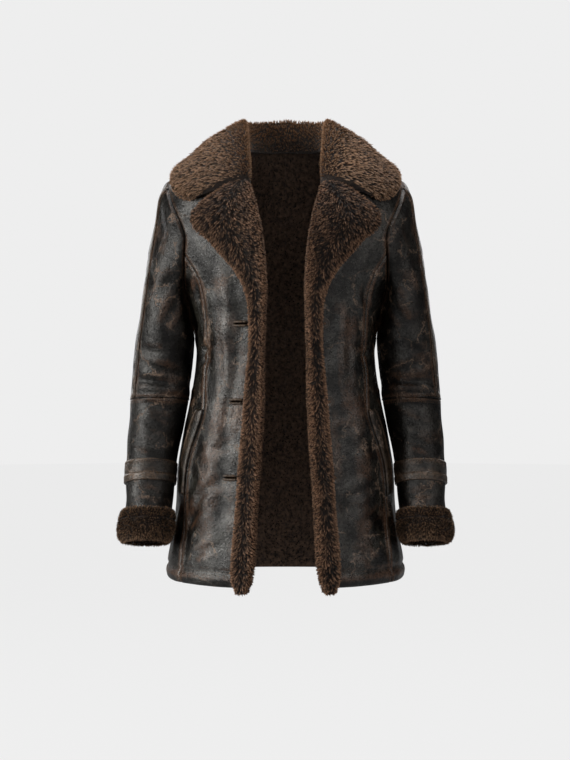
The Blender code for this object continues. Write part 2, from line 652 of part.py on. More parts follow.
def arm(side, suffix):
    upper, forearm = sleeve_grids()
    sleeve_panel(f"sleeve_front_{suffix}", side, upper, OVERARM_COLUMN, UNDERARM_COLUMN)
    sleeve_panel(f"sleeve_back_{suffix}", side, upper, UNDERARM_COLUMN, SLEEVE_COLUMNS + OVERARM_COLUMN)
    outer = forearm[0].copy()
    inner = outer - forearm[1] * WALL
    outer[0] -= (0, 0, SEAM_GAP / 2)
    inner[0] -= (0, 0, SEAM_GAP / 2)
    rings = [[*outer[:, c], *inner[::-1, c]] for c in range(SLEEVE_COLUMNS)]
    loft(f"forearm_{suffix}", mirrored(rings, side), "leather", closed=True)
    overarm_strip(f"overarm_strip_{suffix}", side, upper)
    strap = [(z, LAID_ON) for z in STRAP_ROWS]
    strap += [(z, LAID_ON + STRAP_THICKNESS) for z in reversed(STRAP_ROWS)]
    band_round_forearm(f"cuff_strap_{suffix}", side, strap, "leather_trim")
    band_round_forearm(f"wool_cuff_{suffix}", side, CUFF_SECTION, "wool")


# ---- pocket welts and fastenings ----


def pocket_welt(side, suffix):
    rings = []
    for z, free_x in WELT:
        angles = np.linspace(angle_at(princess["x"](z), z) + WELT_FROM_SEAM, angle_at(free_x, z), 4)
        ring = [above_torso(angle, z, LAID_ON) for angle in angles]
        ring += [above_torso(angle, z, LAID_ON + WELT_THICKNESS) for angle in reversed(angles)]
        rings.append(ring)
    return loft(f"pocket_welt_{suffix}", mirrored(rings, side), "leather_trim")


def frame_on_front(x, z):
    """The point, the outward, the sideways and the upward direction at a place on the left front."""
    angle, level = on_front(x, z)
    out = torso_normal(angle, level)
    up = unit(np.array([0.0, 0.0, 1.0]) - out * out[2])
    return torso(angle, level), out, np.cross(up, out), up


def buttonhole(name, side, z):
    """A bound buttonhole: two lips of leather round a slit, as a flat ring."""
    place, out, across, up = frame_on_front(facing["outer_x"](z) + BUTTONHOLE_FROM_FACING, z)
    rings = []
    for k in range(BUTTONHOLE_SIDES):
        turn = 2 * math.pi * (k + 0.5) / BUTTONHOLE_SIDES
        squared = [math.copysign(abs(v) ** BUTTONHOLE_ROUNDNESS, v) for v in (math.cos(turn), math.sin(turn))]
        outer = np.array(squared) * (BUTTONHOLE_LENGTH / 2, BUTTONHOLE_WIDTH / 2)
        slit = np.array(squared) * (BUTTONHOLE_SLIT_LENGTH / 2, BUTTONHOLE_SLIT_WIDTH / 2)
        ring = []
        for on_slit, scale, height in BUTTONHOLE_SECTION:
            flat = (slit if on_slit else outer) * scale
            rise = UNDER_SMALL_PIECE + BUTTONHOLE_THICKNESS * height
            ring.append(place + across * flat[0] + up * flat[1] + out * rise)
        rings.append(ring)
    return loft(name, mirrored(rings, side), "leather_trim", closed=True)


def turned(name, side, z, profile, finish):
    """A round piece on the front, from radii and heights."""
    place, out, across, up = frame_on_front(facing["outer_x"](z) + BUTTON_FROM_FACING, z)
    rings = []
    for radius, height in profile:
        turns = [2 * math.pi * k / BUTTON_SIDES for k in range(BUTTON_SIDES)]
        middle = place + out * height
        rings.append([middle + radius * (across * math.cos(t) + up * math.sin(t)) for t in turns])
    return loft(name, mirrored(rings, side), finish)


def buttons_and_their_hollows(facing_object):
    """The buttons, partly under the wool's edge, which is hollowed round them."""
    base = UNDER_SMALL_PIECE
    profile = [(radius, base + height) for radius, height in BUTTON_PROFILE]
    hollow_radius = BUTTON_RADIUS + BUTTON_CLEARANCE
    hollow_top = base + BUTTON_THICKNESS + BUTTON_CLEARANCE
    hollow = ((hollow_radius, -BUTTON_HOLLOW_BELOW), (hollow_radius, hollow_top))
    for number, z in enumerate(FASTENING_HEIGHTS, 1):
        turned(f"button_{number}", 1, z, profile, "horn")
        cutter = turned(f"hollow_{number}", 1, z, hollow, "wool")
        cutter.hide_render = True
        cutter.display_type = "WIRE"
        cut = facing_object.modifiers.new(f"round button {number}", "BOOLEAN")
        cut.operation = "DIFFERENCE"
        cut.solver = "EXACT"
        cut.object = cutter


def build():
    for old in list(bpy.data.objects):
        bpy.data.objects.remove(old)
    for side, suffix in ((1, "left"), (-1, "right")):
        body(side, suffix)
        arm(side, suffix)
        pocket_welt(side, suffix)
    front_facing(-1, "right")
    buttons_and_their_hollows(front_facing(1, "left"))
    collar()
    for number, z in enumerate(FASTENING_HEIGHTS, 1):
        buttonhole(f"buttonhole_{number}", -1, z)


build()
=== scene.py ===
# %% [markdown]
# # A shearling coat, dressed on its frame
# The frame holds the coat's true panels as rigid solids: two fronts, two side fronts, two backs, two
# sleeves of three pieces each, the wool facings, collar and cuffs, and small parts such as strips and
# buttons. This lesson replaces each of them with the thing itself: waxed sheepskin with its creases and
# seams, and wool that stands up as real tufts. It starts by loading the frame, since every piece takes its
# place from it.

# %% Load the frame
import json
import math

import bpy
import mathutils
import numpy as np
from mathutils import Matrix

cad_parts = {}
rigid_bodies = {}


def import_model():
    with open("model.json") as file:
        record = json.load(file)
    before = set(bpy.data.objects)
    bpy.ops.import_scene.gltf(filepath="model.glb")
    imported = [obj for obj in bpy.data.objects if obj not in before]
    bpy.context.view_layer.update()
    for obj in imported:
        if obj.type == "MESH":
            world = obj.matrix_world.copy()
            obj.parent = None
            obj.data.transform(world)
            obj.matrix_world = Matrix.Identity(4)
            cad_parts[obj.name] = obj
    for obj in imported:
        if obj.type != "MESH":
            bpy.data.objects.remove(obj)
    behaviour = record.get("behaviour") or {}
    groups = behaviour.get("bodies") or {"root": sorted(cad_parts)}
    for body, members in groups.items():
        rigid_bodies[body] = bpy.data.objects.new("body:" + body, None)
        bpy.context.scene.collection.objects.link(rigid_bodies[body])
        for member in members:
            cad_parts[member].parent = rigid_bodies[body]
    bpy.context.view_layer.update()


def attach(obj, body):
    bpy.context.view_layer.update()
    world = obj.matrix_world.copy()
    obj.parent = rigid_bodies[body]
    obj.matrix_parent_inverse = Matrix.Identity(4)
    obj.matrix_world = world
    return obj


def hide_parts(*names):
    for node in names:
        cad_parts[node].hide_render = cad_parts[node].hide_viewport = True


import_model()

MM = 0.001  # the lesson thinks in millimetres, and meshes are in metres

# %% [markdown]
# ## Colour and nodes
# A maker names a colour as it looks on a screen, as sRGB hex, while the shaders add up light in linear
# numbers. One function turns the first into the second. Another adds a shader node with its settings and
# its links in one call, so that a material reads like a recipe.

# %% Colours and nodes
def linear(hex_colour):
    """A linear RGBA colour from sRGB hex such as '#8a6a52'."""
    channels = [int(hex_colour[i:i + 2], 16) / 255 for i in (1, 3, 5)]
    return [c / 12.92 if c <= 0.04045 else ((c + 0.055) / 1.055) ** 2.4 for c in channels] + [1.0]


def add(tree, kind, inputs=None, **settings):
    """Adds a node. Each input is a value, or another node's output to link to."""
    made = tree.nodes.new("ShaderNode" + kind)
    for name, value in settings.items():
        setattr(made, name, value)
    for socket, value in (inputs or {}).items():
        if isinstance(value, bpy.types.NodeSocket):
            tree.links.new(value, made.inputs[socket])
        else:
            made.inputs[socket].default_value = value
    return made


def new_material(name, roughness, ior, **sockets):
    """An empty material with a Principled shader, and the sockets that are the same all over."""
    made = bpy.data.materials.new(name)
    made.use_nodes = True
    shader = made.node_tree.nodes["Principled BSDF"]
    shader.inputs["Roughness"].default_value = roughness
    shader.inputs["IOR"].default_value = ior
    for socket, value in sockets.items():
        shader.inputs[socket.replace("_", " ")].default_value = value
    return made, made.node_tree, shader


# %% [markdown]
# ## Waxed sheepskin
# The skin side of a shearling hide is dyed nearly black and waxed, and years of wear rub it. What the eye
# sees is three things in patches: black dye, a dusty grey-green bloom of wax, and the brown hide where the
# dye is gone, in clouds, along the raised seams and in a few long scratches. One could paint this by hand,
# but noise at the hide's own scales does it on every panel alike: patches 38 mm wide, brown clouds of 62
# mm, scratches in a net of 75 mm that shows only in places. A speckle breaks them all up. Real grain is
# under 1 mm, too fine to show in the render, so the speckle is drawn at 4 mm and the pebbled bump at about
# 3 mm. Each panel carries a number called wear, which is high along its seams and on its raised creases.
# The wax shines most where its bloom is thick. The sleeves have a copy of the skin with darker colours and
# less shine; its darker colours are painted shade, for the shade the sleeves hang in. The narrow strips are
# browner, because they stand proud and are rubbed more.

# %% Waxed sheepskin
PATCH_MM, BROWN_MM, SCRATCH_NET_MM, WRINKLE_MM = 38, 62, 75, 17
SPECKLE_MM, GRAIN_MM = 4.0, 3.2  # both drawn coarser than the real grain
CLOUDS_MOVED = (3.1, 7.7, 5.3)  # so that the brown clouds don't follow the patches
SCRATCH_BEND = 0.09  # metres that the scratches' net is bent by
DULLEST_WAX = 0.45  # the wax's shine between its patches of bloom, as a share of its shine in them


def waxed_sheepskin(name, dyed, bloom, brown, scratched, wear_from, roughness, wax):
    """Four colours, the wear from which the brown shows, the roughness, and how much the wax shines."""
    made, tree, shader = new_material(name, roughness, 1.5)
    place = add(tree, "TexCoord").outputs["Object"]
    worn = add(tree, "Attribute", attribute_name="wear").outputs["Fac"]
    patches = add(tree, "TexNoise", {"Vector": place, "Scale": 1000 / PATCH_MM, "Detail": 7,
                                     "Roughness": 0.66})
    speckle = add(tree, "TexNoise", {"Vector": place, "Scale": 1000 / SPECKLE_MM, "Detail": 4,
                                     "Roughness": 0.8})
    flecks = add(tree, "MapRange", {"Value": speckle.outputs["Fac"], "From Min": 0.38, "From Max": 0.63,
                                    "To Min": 0.1})
    patch = add(tree, "MapRange", {"Value": patches.outputs["Fac"], "From Min": 0.40, "From Max": 0.60},
                interpolation_type="SMOOTHSTEP")
    bloomed = add(tree, "Math", {0: patch.outputs["Result"], 1: flecks.outputs["Result"]},
                  operation="MULTIPLY")
    colour = add(tree, "Mix", {0: bloomed.outputs[0], 6: linear(dyed), 7: linear(bloom)}, data_type="RGBA")
    # The brown hide shows where a second noise, the wear and the speckle together pass a threshold.
    moved = add(tree, "VectorMath", {0: place, 1: CLOUDS_MOVED}, operation="ADD")
    clouds = add(tree, "TexNoise", {"Vector": moved.outputs[0], "Scale": 1000 / BROWN_MM, "Detail": 7,
                                    "Roughness": 0.68})
    rubbed = add(tree, "Math", {0: worn, 1: clouds.outputs["Fac"]}, operation="ADD")
    rub = add(tree, "MapRange", {"Value": rubbed.outputs[0], "From Min": wear_from,
                                 "From Max": wear_from + 0.3}, interpolation_type="SMOOTHSTEP")
    hide = add(tree, "Math", {0: rub.outputs["Result"], 1: flecks.outputs["Result"]}, operation="MULTIPLY")
    colour = add(tree, "Mix", {0: hide.outputs[0], 6: colour.outputs[2], 7: linear(brown)}, data_type="RGBA")
    # Scratches follow the cell edges of a bent net, and fade in and out.
    bent = add(tree, "VectorMath", {0: clouds.outputs["Color"], 1: [SCRATCH_BEND] * 3}, operation="MULTIPLY")
    bent = add(tree, "VectorMath", {0: bent.outputs[0], 1: place}, operation="ADD")
    net = add(tree, "TexVoronoi", {"Vector": bent.outputs[0], "Scale": 1000 / SCRATCH_NET_MM},
              feature="DISTANCE_TO_EDGE")
    line = add(tree, "MapRange", {"Value": net.outputs["Distance"], "From Min": 0.0, "From Max": 0.02,
                                  "To Min": 1.0, "To Max": 0.0})
    here = add(tree, "MapRange", {"Value": patches.outputs["Fac"], "From Min": 0.47, "From Max": 0.57,
                                  "To Max": 0.95})
    scratch = add(tree, "Math", {0: line.outputs["Result"], 1: here.outputs["Result"]}, operation="MULTIPLY")
    colour = add(tree, "Mix", {0: scratch.outputs[0], 6: colour.outputs[2], 7: linear(scratched)},
                 data_type="RGBA")
    tree.links.new(colour.outputs[2], shader.inputs["Base Color"])
    gloss = add(tree, "MapRange", {"Value": speckle.outputs["Fac"], "From Min": 0.35, "From Max": 0.65,
                                   "To Min": roughness - 0.06, "To Max": roughness + 0.16})
    tree.links.new(gloss.outputs["Result"], shader.inputs["Roughness"])
    waxed = add(tree, "MapRange", {"Value": bloomed.outputs[0], "To Min": wax * DULLEST_WAX, "To Max": wax})
    tree.links.new(waxed.outputs["Result"], shader.inputs["Specular IOR Level"])
    grain = add(tree, "TexVoronoi", {"Vector": place, "Scale": 1000 / GRAIN_MM}, feature="SMOOTH_F1")
    wrinkle = add(tree, "TexNoise", {"Vector": bent.outputs[0], "Scale": 1000 / WRINKLE_MM, "Detail": 5,
                                     "Roughness": 0.62})
    fine = add(tree, "Bump", {"Height": grain.outputs["Distance"], "Distance": 0.6 * MM, "Strength": 0.7})
    large = add(tree, "Bump", {"Height": wrinkle.outputs["Fac"], "Distance": 3.2 * MM, "Strength": 0.5,
                               "Normal": fine.outputs[0]})
    cut = add(tree, "Bump", {"Height": scratch.outputs[0], "Distance": 0.5 * MM, "Strength": 0.5,
                             "Normal": large.outputs[0]}, invert=True)
    tree.links.new(cut.outputs[0], shader.inputs["Normal"])
    return made


panel_leather = waxed_sheepskin("waxed_sheepskin", "#080605", "#27251e", "#583f2f", "#8c7563",
                                wear_from=0.55, roughness=0.28, wax=0.98)
# Painted shade: the sleeves' skin has darker colours than the panels', for the shade the sleeves hang in.
sleeve_leather_painted_shade = waxed_sheepskin("waxed_sheepskin_sleeve", "#070504", "#201d18", "#4b3628", "#7b6453",
                                 wear_from=0.56, roughness=0.3, wax=0.6)
strip_leather = waxed_sheepskin("rubbed_sheepskin_strip", "#0d0a07", "#2a241b", "#5e4a39", "#80695a",
                                wear_from=0.53, roughness=0.31, wax=0.9)
print("leathers:", panel_leather.name, sleeve_leather_painted_shade.name, strip_leather.name)

# %% [markdown]
# ## Wool pile
# The wool side of the hide is dense, sheared and soft. Hair is nearly matt, darker at its root, where its
# neighbours shade it, and paler at its tip, where the dye has worn. Each tuft here is real geometry, so the
# material only needs two numbers from the mesh: along, from root to tip, and tint, which differs from tuft
# to tuft and on the facings, collar and cuffs also carries painted light and shade. The collar's wool is
# brushed out and painted paler down to its roots, as painted light from above, the cuffs' is darker, and
# the lining's is dull. The skin under the tufts is a felted wool, painted dark as painted shade beneath them.

# %% Wool pile
def wool_pile(name, root, middle, tip):
    made, tree, shader = new_material(name, 0.66, 1.55, Specular_IOR_Level=0.3)
    along = add(tree, "Attribute", attribute_name="along").outputs["Fac"]
    tint = add(tree, "Attribute", attribute_name="tint").outputs["Fac"]
    low = add(tree, "MapRange", {"Value": along, "From Min": 0.12, "From Max": 0.62},
              interpolation_type="SMOOTHSTEP")
    high = add(tree, "MapRange", {"Value": along, "From Min": 0.5, "From Max": 1.0})
    colour = add(tree, "Mix", {0: low.outputs["Result"], 6: linear(root), 7: linear(middle)},
                 data_type="RGBA")
    colour = add(tree, "Mix", {0: high.outputs["Result"], 6: colour.outputs[2], 7: linear(tip)},
                 data_type="RGBA")
    shade = add(tree, "MapRange", {"Value": tint, "To Min": 0.0, "To Max": 2.1})
    colour = add(tree, "VectorMath", {0: colour.outputs[2], 1: shade.outputs["Result"]},
                 operation="MULTIPLY")
    tree.links.new(colour.outputs[0], shader.inputs["Base Color"])
    return made


def felted_wool(name, dark, pale, curl_mm):
    made, tree, shader = new_material(name, 0.9, 1.5, Sheen_Weight=0.2)
    place = add(tree, "TexCoord").outputs["Object"]
    curls = add(tree, "TexNoise", {"Vector": place, "Scale": 1000 / curl_mm, "Detail": 5, "Roughness": 0.65})
    shown = add(tree, "MapRange", {"Value": curls.outputs["Fac"], "From Min": 0.35, "From Max": 0.68})
    colour = add(tree, "Mix", {0: shown.outputs["Result"], 6: linear(dark), 7: linear(pale)},
                 data_type="RGBA")
    tree.links.new(colour.outputs[2], shader.inputs["Base Color"])
    bump = add(tree, "Bump", {"Height": curls.outputs["Fac"], "Distance": 2.5 * MM, "Strength": 1.0})
    tree.links.new(bump.outputs[0], shader.inputs["Normal"])
    return made


facing_wool = wool_pile("sheared_wool", "#0e0805", "#3d2a1f", "#96735a")
collar_wool_painted_light = wool_pile("sheared_wool_collar", "#33251a", "#543e2d", "#8e7057")
cuff_wool = wool_pile("sheared_wool_cuff", "#0c0704", "#352418", "#866a52")
lining_wool = wool_pile("sheared_wool_lining", "#261b14", "#413126", "#5c4939")
# Painted shade: the felt under the tufts is painted dark.
underwool_painted_shade = felted_wool("felted_underwool", "#140d09", "#33251c", 4)
inside_wool = felted_wool("felted_lining", "#2b1f18", "#6c5443", 6)

# %% [markdown]
# ## Horn and thread
# The buttons are pressed from horn, dark with a faint paler streak, and polished, so their rims catch a
# small highlight. The thread is waxed linen, a little paler than the rubbed leather that it lies on.

# %% Horn and thread
STREAK_MM, TWIST_MM = 5, 3


def streaked_horn():
    made, tree, shader = new_material("polished_horn", 0.28, 1.55)
    place = add(tree, "TexCoord").outputs["Object"]
    long_way = add(tree, "VectorMath", {0: place, 1: (1.0, 1.0, 0.25)}, operation="MULTIPLY")
    streak = add(tree, "TexNoise", {"Vector": long_way.outputs[0], "Scale": 1000 / STREAK_MM, "Detail": 4})
    colour = add(tree, "Mix", {0: streak.outputs["Fac"], 6: linear("#1e1814"), 7: linear("#544a42")},
                 data_type="RGBA")
    tree.links.new(colour.outputs[2], shader.inputs["Base Color"])
    return made


def waxed_linen():
    made, tree, shader = new_material("waxed_linen_thread", 0.6, 1.5)
    place = add(tree, "TexCoord").outputs["Object"]
    twist = add(tree, "TexNoise", {"Vector": place, "Scale": 1000 / TWIST_MM, "Detail": 3})
    colour = add(tree, "Mix", {0: twist.outputs["Fac"], 6: linear("#46301f"), 7: linear("#8a6a50")},
                 data_type="RGBA")
    tree.links.new(colour.outputs[2], shader.inputs["Base Color"])
    return made


# Painted shade: the slit between a buttonhole's lips is painted near black.
slit_painted_shade = new_material("buttonhole_inside", 1.0, 1.4, Base_Color=linear("#060403"),
                         Specular_IOR_Level=0.0)[0]
horn = streaked_horn()
thread = waxed_linen()

# %% [markdown]
# ## The body's surface
# A coat's pattern is flat, but on a figure its body is a barrel that changes from section to section. The
# frame's panels were cut from such a barrel: a table gives each level its half width, depths and heights,
# and a rounded oval joins them. Both are written here again for whole arrays of points, so that a mesh, a
# crease or a tuft can lie anywhere on the coat and fit the frame exactly.

# %% The body's sections and seams
WALL = 7.0
HEM, UNDERARM = -735.0, -258.0
SECTION_COLUMNS = ("level", "half_width", "front", "back", "side_y", "side_z", "front_z", "back_z")
SECTIONS = (
    (-735, 205.0, 131, 138, 26, -735, -735, -735), (-700, 203.0, 130, 137, 26, -700, -700, -700),
    (-660, 195.0, 127, 134, 26, -660, -660, -660), (-610, 189.0, 124, 131, 26, -610, -610, -610),
    (-545, 186.0, 121, 127, 24, -545, -545, -545), (-500, 178.0, 119, 122, 20, -500, -500, -500),
    (-445, 167.0, 117, 115, 14, -445, -445, -445), (-400, 157.5, 116, 109, 8, -400, -400, -400),
    (-345, 152.0, 117, 106, 3, -345, -345, -345), (-300, 155.5, 122, 110, 0, -300, -300, -300),
    (-258, 166.0, 128, 117, 0, -258, -258, -258), (-220, 184.0, 132, 122, 0, -220, -220, -220),
    (-175, 206.0, 134, 124, 0, -175, -175, -175), (-130, 212.0, 131, 121, 0, -125, -137, -125),
    (-95, 208.0, 125, 114, 0, -88, -114, -85), (-58, 190.0, 118, 102, 0, -50, -95, -52),
    (-40, 160.0, 113, 94, 0, -34, -86, -32), (-20, 116.0, 107, 84, 0, -12, -76, -10),
    (0, 76.0, 98, 74, 0, 8, -66, 10),
)
LEVEL_SECTIONS_TOP, SECTION_POWER = -175.0, 2.3
SIDE, BACK = 90.0, 180.0
# Columns: angle, level, half_angle, half_height, depth.
FOLDS = (
    (113, -590, 9, 120, 5.0), (146, -620, 11, 105, 4.5), (168, -348, 12, 42, 3.5), (130, -322, 20, 24, 4.0),
    (137, -372, 16, 20, 3.0), (62, -352, 14, 26, 3.0), (58, -655, 9, 60, 3.0), (150, -215, 14, 60, 3.0),
)
ARMHOLE_LEVEL, ARMHOLE_HALF, ARMHOLE_FRONT_ANGLE, ARMHOLE_BACK_ANGLE = -158.0, 100.0, 40.0, 36.0
ARMHOLE_POWERS = (1.6, 0.8)  # they make the armhole fuller than an ellipse
SLEEVE_COLUMNS, PRINCESS_COLUMN = 20, 4  # the frame's columns round the arm, and the one the seam runs to
PRINCESS_TOP = ARMHOLE_LEVEL - ARMHOLE_HALF * math.cos(2 * math.pi * PRINCESS_COLUMN / SLEEVE_COLUMNS)
PRINCESS_TOP_WIDTH = 0.8
PRINCESS = (
    (-735, 177.7), (-660, 174.4), (-600, 170.0), (-543, 165.0), (-512, 157.5), (-482, 147.0), (-453, 137.5),
    (-400, 136.3), (-345, 132.8), (-288, 133.6), (-258, 136.6), (-239, 141.0), (-217, 149.5),
)
# Columns: z, inner_x, outer_x.
FACING = (
    (-75, 56.0, 76.0), (-82, 54.0, 101.0), (-94, 51.0, 121.5), (-106, 47.5, 137.5), (-118, 44.5, 149.5),
    (-129, 42.0, 152.5), (-140, 40.0, 151.0), (-152, 37.5, 143.0), (-166, 35.5, 127.0), (-180, 33.5, 114.5),
    (-196, 32.0, 101.0), (-212, 31.0, 87.0), (-226, 30.0, 78.0), (-240, 29.0, 70.5), (-264, 29.5, 63.5),
    (-288, 30.5, 61.0), (-318, 31.5, 60.5), (-345, 33.0, 61.0), (-372, 33.0, 63.5), (-400, 33.0, 66.0),
    (-427, 33.5, 68.0), (-453, 34.5, 70.0), (-482, 36.0, 72.0), (-512, 38.0, 75.0), (-543, 40.0, 77.5),
    (-572, 42.0, 79.0), (-600, 43.5, 80.5), (-630, 45.0, 83.0), (-660, 46.5, 86.0), (-690, 48.0, 88.0),
    (-712, 50.5, 89.0), (-726, 53.0, 87.5), (-733, 56.5, 84.5),
)
EDGE_INSIDE_FACING = 7.0
NECKLINE = ((-28, 64.0), (-14, 66.5), (0, 72.5))
HALVINGS, SETTLING_ROUNDS = 24, 6  # of the two searches below, enough for far less than a millimetre


def smooth_curve(xs, ys):
    """A function of arrays through the points (xs, ys), with no overshoot between them."""
    xs, ys = np.asarray(xs, float), np.asarray(ys, float)
    steps = np.diff(ys) / np.diff(xs)
    slopes = np.concatenate([steps[:1], (steps[1:] + steps[:-1]) / 2, steps[-1:]])
    slopes[1:-1][steps[1:] * steps[:-1] <= 0] = 0

    def value(x):
        x = np.asarray(x, float)
        i = np.clip(np.searchsorted(xs, x) - 1, 0, len(xs) - 2)
        width = xs[i + 1] - xs[i]
        t = np.clip((x - xs[i]) / width, 0, 1)
        rise = ys[i] * (1 + 2 * t) * (1 - t) ** 2 + ys[i + 1] * t * t * (3 - 2 * t)
        return rise + width * (slopes[i] * t * (1 - t) ** 2 - slopes[i + 1] * t * t * (1 - t))

    return value


def curves_of(table, names):
    """A smooth function of the first column for each other column, by name."""
    rows = np.array(sorted(table))
    return {name: smooth_curve(rows[:, 0], rows[:, k]) for k, name in enumerate(names) if k}


section = curves_of(SECTIONS, SECTION_COLUMNS)
princess_x = curves_of(PRINCESS, ("z", "x"))["x"]
facing = curves_of(FACING, ("z", "inner_x", "outer_x"))
neckline_x = curves_of(NECKLINE, ("level", "x"))["x"]


def unit(vectors):
    return vectors / np.maximum(np.linalg.norm(vectors, axis=-1, keepdims=True), 1e-9)


def trough(across, along):
    """A smooth hollow: 1 in its middle, and 0 from a distance of 1 on."""
    return np.maximum(0, 1 - across**2) ** 2 * np.maximum(0, 1 - along**2) ** 2


def torso(angle, level):
    """Points of the coat's outside, on the wearer's left: angle 0 is the front's middle and 90 the side."""
    angle, level = np.broadcast_arrays(np.asarray(angle, float), np.asarray(level, float))
    sine, cosine = np.sin(np.radians(angle)), np.cos(np.radians(angle))
    depth = np.where(cosine > 0, section["front"](level), section["back"](level))
    middle_z = np.where(cosine > 0, section["front_z"](level), section["back_z"](level))
    fold = sum(d * trough((angle - a) / ha, (level - z) / hz) for a, z, ha, hz, d in FOLDS)
    x = (section["half_width"](level) - fold) * np.abs(sine) ** (2 / SECTION_POWER)
    y = -np.sign(cosine) * (depth - fold) * np.abs(cosine) ** (2 / SECTION_POWER)
    z = section["side_z"](level) * sine**2 + middle_z * cosine**2
    return np.stack([x, y + section["side_y"](level) * sine**2, z], axis=-1)


def torso_normal(angle, level):
    turn, rise = 0.5, 1.0
    after, before = np.minimum(angle + turn, BACK - 0.01), np.maximum(angle - turn, 0.01)
    around = torso(after, level) - torso(before, level)
    upward = torso(angle, np.minimum(level + rise, 0)) - torso(angle, np.maximum(level - rise, HEM))
    return unit(np.cross(around, upward))


def angle_at(x, level):
    share = np.minimum(x / section["half_width"](level), 1.0)
    return np.degrees(np.arcsin(share ** (SECTION_POWER / 2)))


def on_front(x, z):
    """The angle and level of the front's points at x and z in the front view."""
    x, z = np.broadcast_arrays(np.asarray(x, float), np.asarray(z, float))
    low, high = np.full(z.shape, LEVEL_SECTIONS_TOP), np.zeros(z.shape)
    for _ in range(HALVINGS):
        level = (low + high) / 2
        inside = x <= section["half_width"](level)
        below = inside & (torso(angle_at(x, level), level)[..., 2] < z)
        low, high = np.where(below, level, low), np.where(below, high, level)
    level = np.where(z <= LEVEL_SECTIONS_TOP, z, (low + high) / 2)
    return angle_at(x, level), level


def armhole_spread(level):
    share = np.minimum(np.abs(level - ARMHOLE_LEVEL) / ARMHOLE_HALF, 1.0)
    return (1 - share ** ARMHOLE_POWERS[0]) ** ARMHOLE_POWERS[1]


def front_armhole(level):
    return SIDE - ARMHOLE_FRONT_ANGLE * armhole_spread(level)


def back_armhole(level):
    return SIDE + ARMHOLE_BACK_ANGLE * armhole_spread(level)


def princess_angle(level):
    """The seam's angle. Above the table's last row it runs straight to the armhole."""
    top, last = front_armhole(PRINCESS_TOP) - PRINCESS_TOP_WIDTH, PRINCESS[-1][0]
    share = np.clip((level - last) / (PRINCESS_TOP - last), 0, 1)
    return angle_at(princess_x(level), np.minimum(level, last)) * (1 - share) + top * share


def front_edge_angle(level):
    """The leather's front edge, just inside the wool facing, and above that the neckline."""
    z = section["front_z"](level)
    for _ in range(SETTLING_ROUNDS):
        angle = angle_at(facing["inner_x"](z) + EDGE_INSIDE_FACING, level)
        z = torso(angle, level)[..., 2]
    return np.where(level >= NECKLINE[0][0], angle_at(neckline_x(level), level), angle)


def front_outer_angle(level):
    return np.where(level <= PRINCESS_TOP, princess_angle(level), front_armhole(level))


def side_outer_angle(level):
    return np.where(level > UNDERARM, front_armhole(level), SIDE)


def back_outer_angle(level):
    return np.where(level > UNDERARM, back_armhole(level), SIDE)


print("at the waist:", torso([0, SIDE, BACK], -345).round(0).tolist())

# %% [markdown]
# ## The sleeve's surface
# A set-in sleeve starts square to the body at the armhole, rolls over the shoulder, and then hangs as a
# tube that bends forward below the elbow. The tube is a table of rings. The sleeve's head is a curve from
# the armhole through one more ring to the first of them, drawn for every direction round the arm.

# %% The sleeve's rings
SLEEVE_HEAD_CENTRE = np.array([197.0, 0.0, -209.0])
SLEEVE_HEAD_UP = np.array([29.0, 0.0, 74.0])
SLEEVE_HEAD_HALF_DEPTH = 72.0
SLEEVE_LEAVES = np.array([(30.0, 0.0, -45.0), (26.0, 0.0, -5.0), (19.0, 0.0, 28.0)])
SLEEVE_LEAVES_FORWARD = 12.0
SLEEVE_COLUMN_NAMES = ("z", "centre_x", "centre_y", "half_width", "half_depth", "lean")
SLEEVE_RINGS = (
    (-330, 207.5, 3.0, 50.0, 62.0, 0.0), (-370, 211.5, 6.0, 50.2, 60.0, 0.0),
    (-404, 215.0, 8.0, 50.7, 58.0, 2.0), (-430, 217.5, 8.0, 49.8, 56.5, 6.0),
    (-460, 221.0, 4.5, 47.6, 54.5, 10.0), (-500, 226.0, -3.0, 44.6, 51.5, 13.0),
    (-538, 229.5, -12.0, 42.2, 48.5, 14.0), (-573, 231.0, -20.5, 40.8, 46.5, 14.0),
    (-608, 232.5, -29.0, 39.6, 44.5, 14.0), (-655, 237.0, -41.0, 39.4, 44.0, 14.0),
)
ARM_TOP, ELBOW, STRAP_TOP, STRAP_BOTTOM, SLEEVE_END = -330.0, -430.0, -538.0, -573.0, -655.0
# Columns: turn, z, half_turn, half_height, depth.
ARM_FOLDS = (
    (100, -390, 75, 16, 4.0), (80, -420, 60, 13, 2.5), (205, -404, 60, 16, 3.0), (60, -362, 50, 15, 2.0),
    (110, -466, 60, 16, 2.5),
)
TURN = 360 / SLEEVE_COLUMNS  # degrees for each of the frame's columns round the arm
OVERARM_TURN, UNDERARM_TURN = 2 * TURN, 180.0
sleeve = curves_of(SLEEVE_RINGS, SLEEVE_COLUMN_NAMES)


def armhole_place(turn):
    """The body's angle and level where the sleeve starts. turn is 0 outside, 90 in front and 180 inside."""
    level = ARMHOLE_LEVEL + ARMHOLE_HALF * np.cos(np.radians(turn))
    return np.where(np.sin(np.radians(turn)) > 0, front_armhole(level), back_armhole(level)), level


def arm_point(turn, z):
    turn, z = np.broadcast_arrays(np.asarray(turn, float), np.asarray(z, float))
    around, lean = np.radians(turn), np.radians(sleeve["lean"](z))
    fold = sum(d * trough((turn % 360 - t) / ht, (z - at) / hz) for t, at, ht, hz, d in ARM_FOLDS)
    depth = (sleeve["half_depth"](z) - fold) * np.sin(around)
    x = sleeve["centre_x"](z) + (sleeve["half_width"](z) - fold) * np.cos(around)
    return np.stack([x, sleeve["centre_y"](z) - depth * np.cos(lean), z + depth * np.sin(lean)], axis=-1)


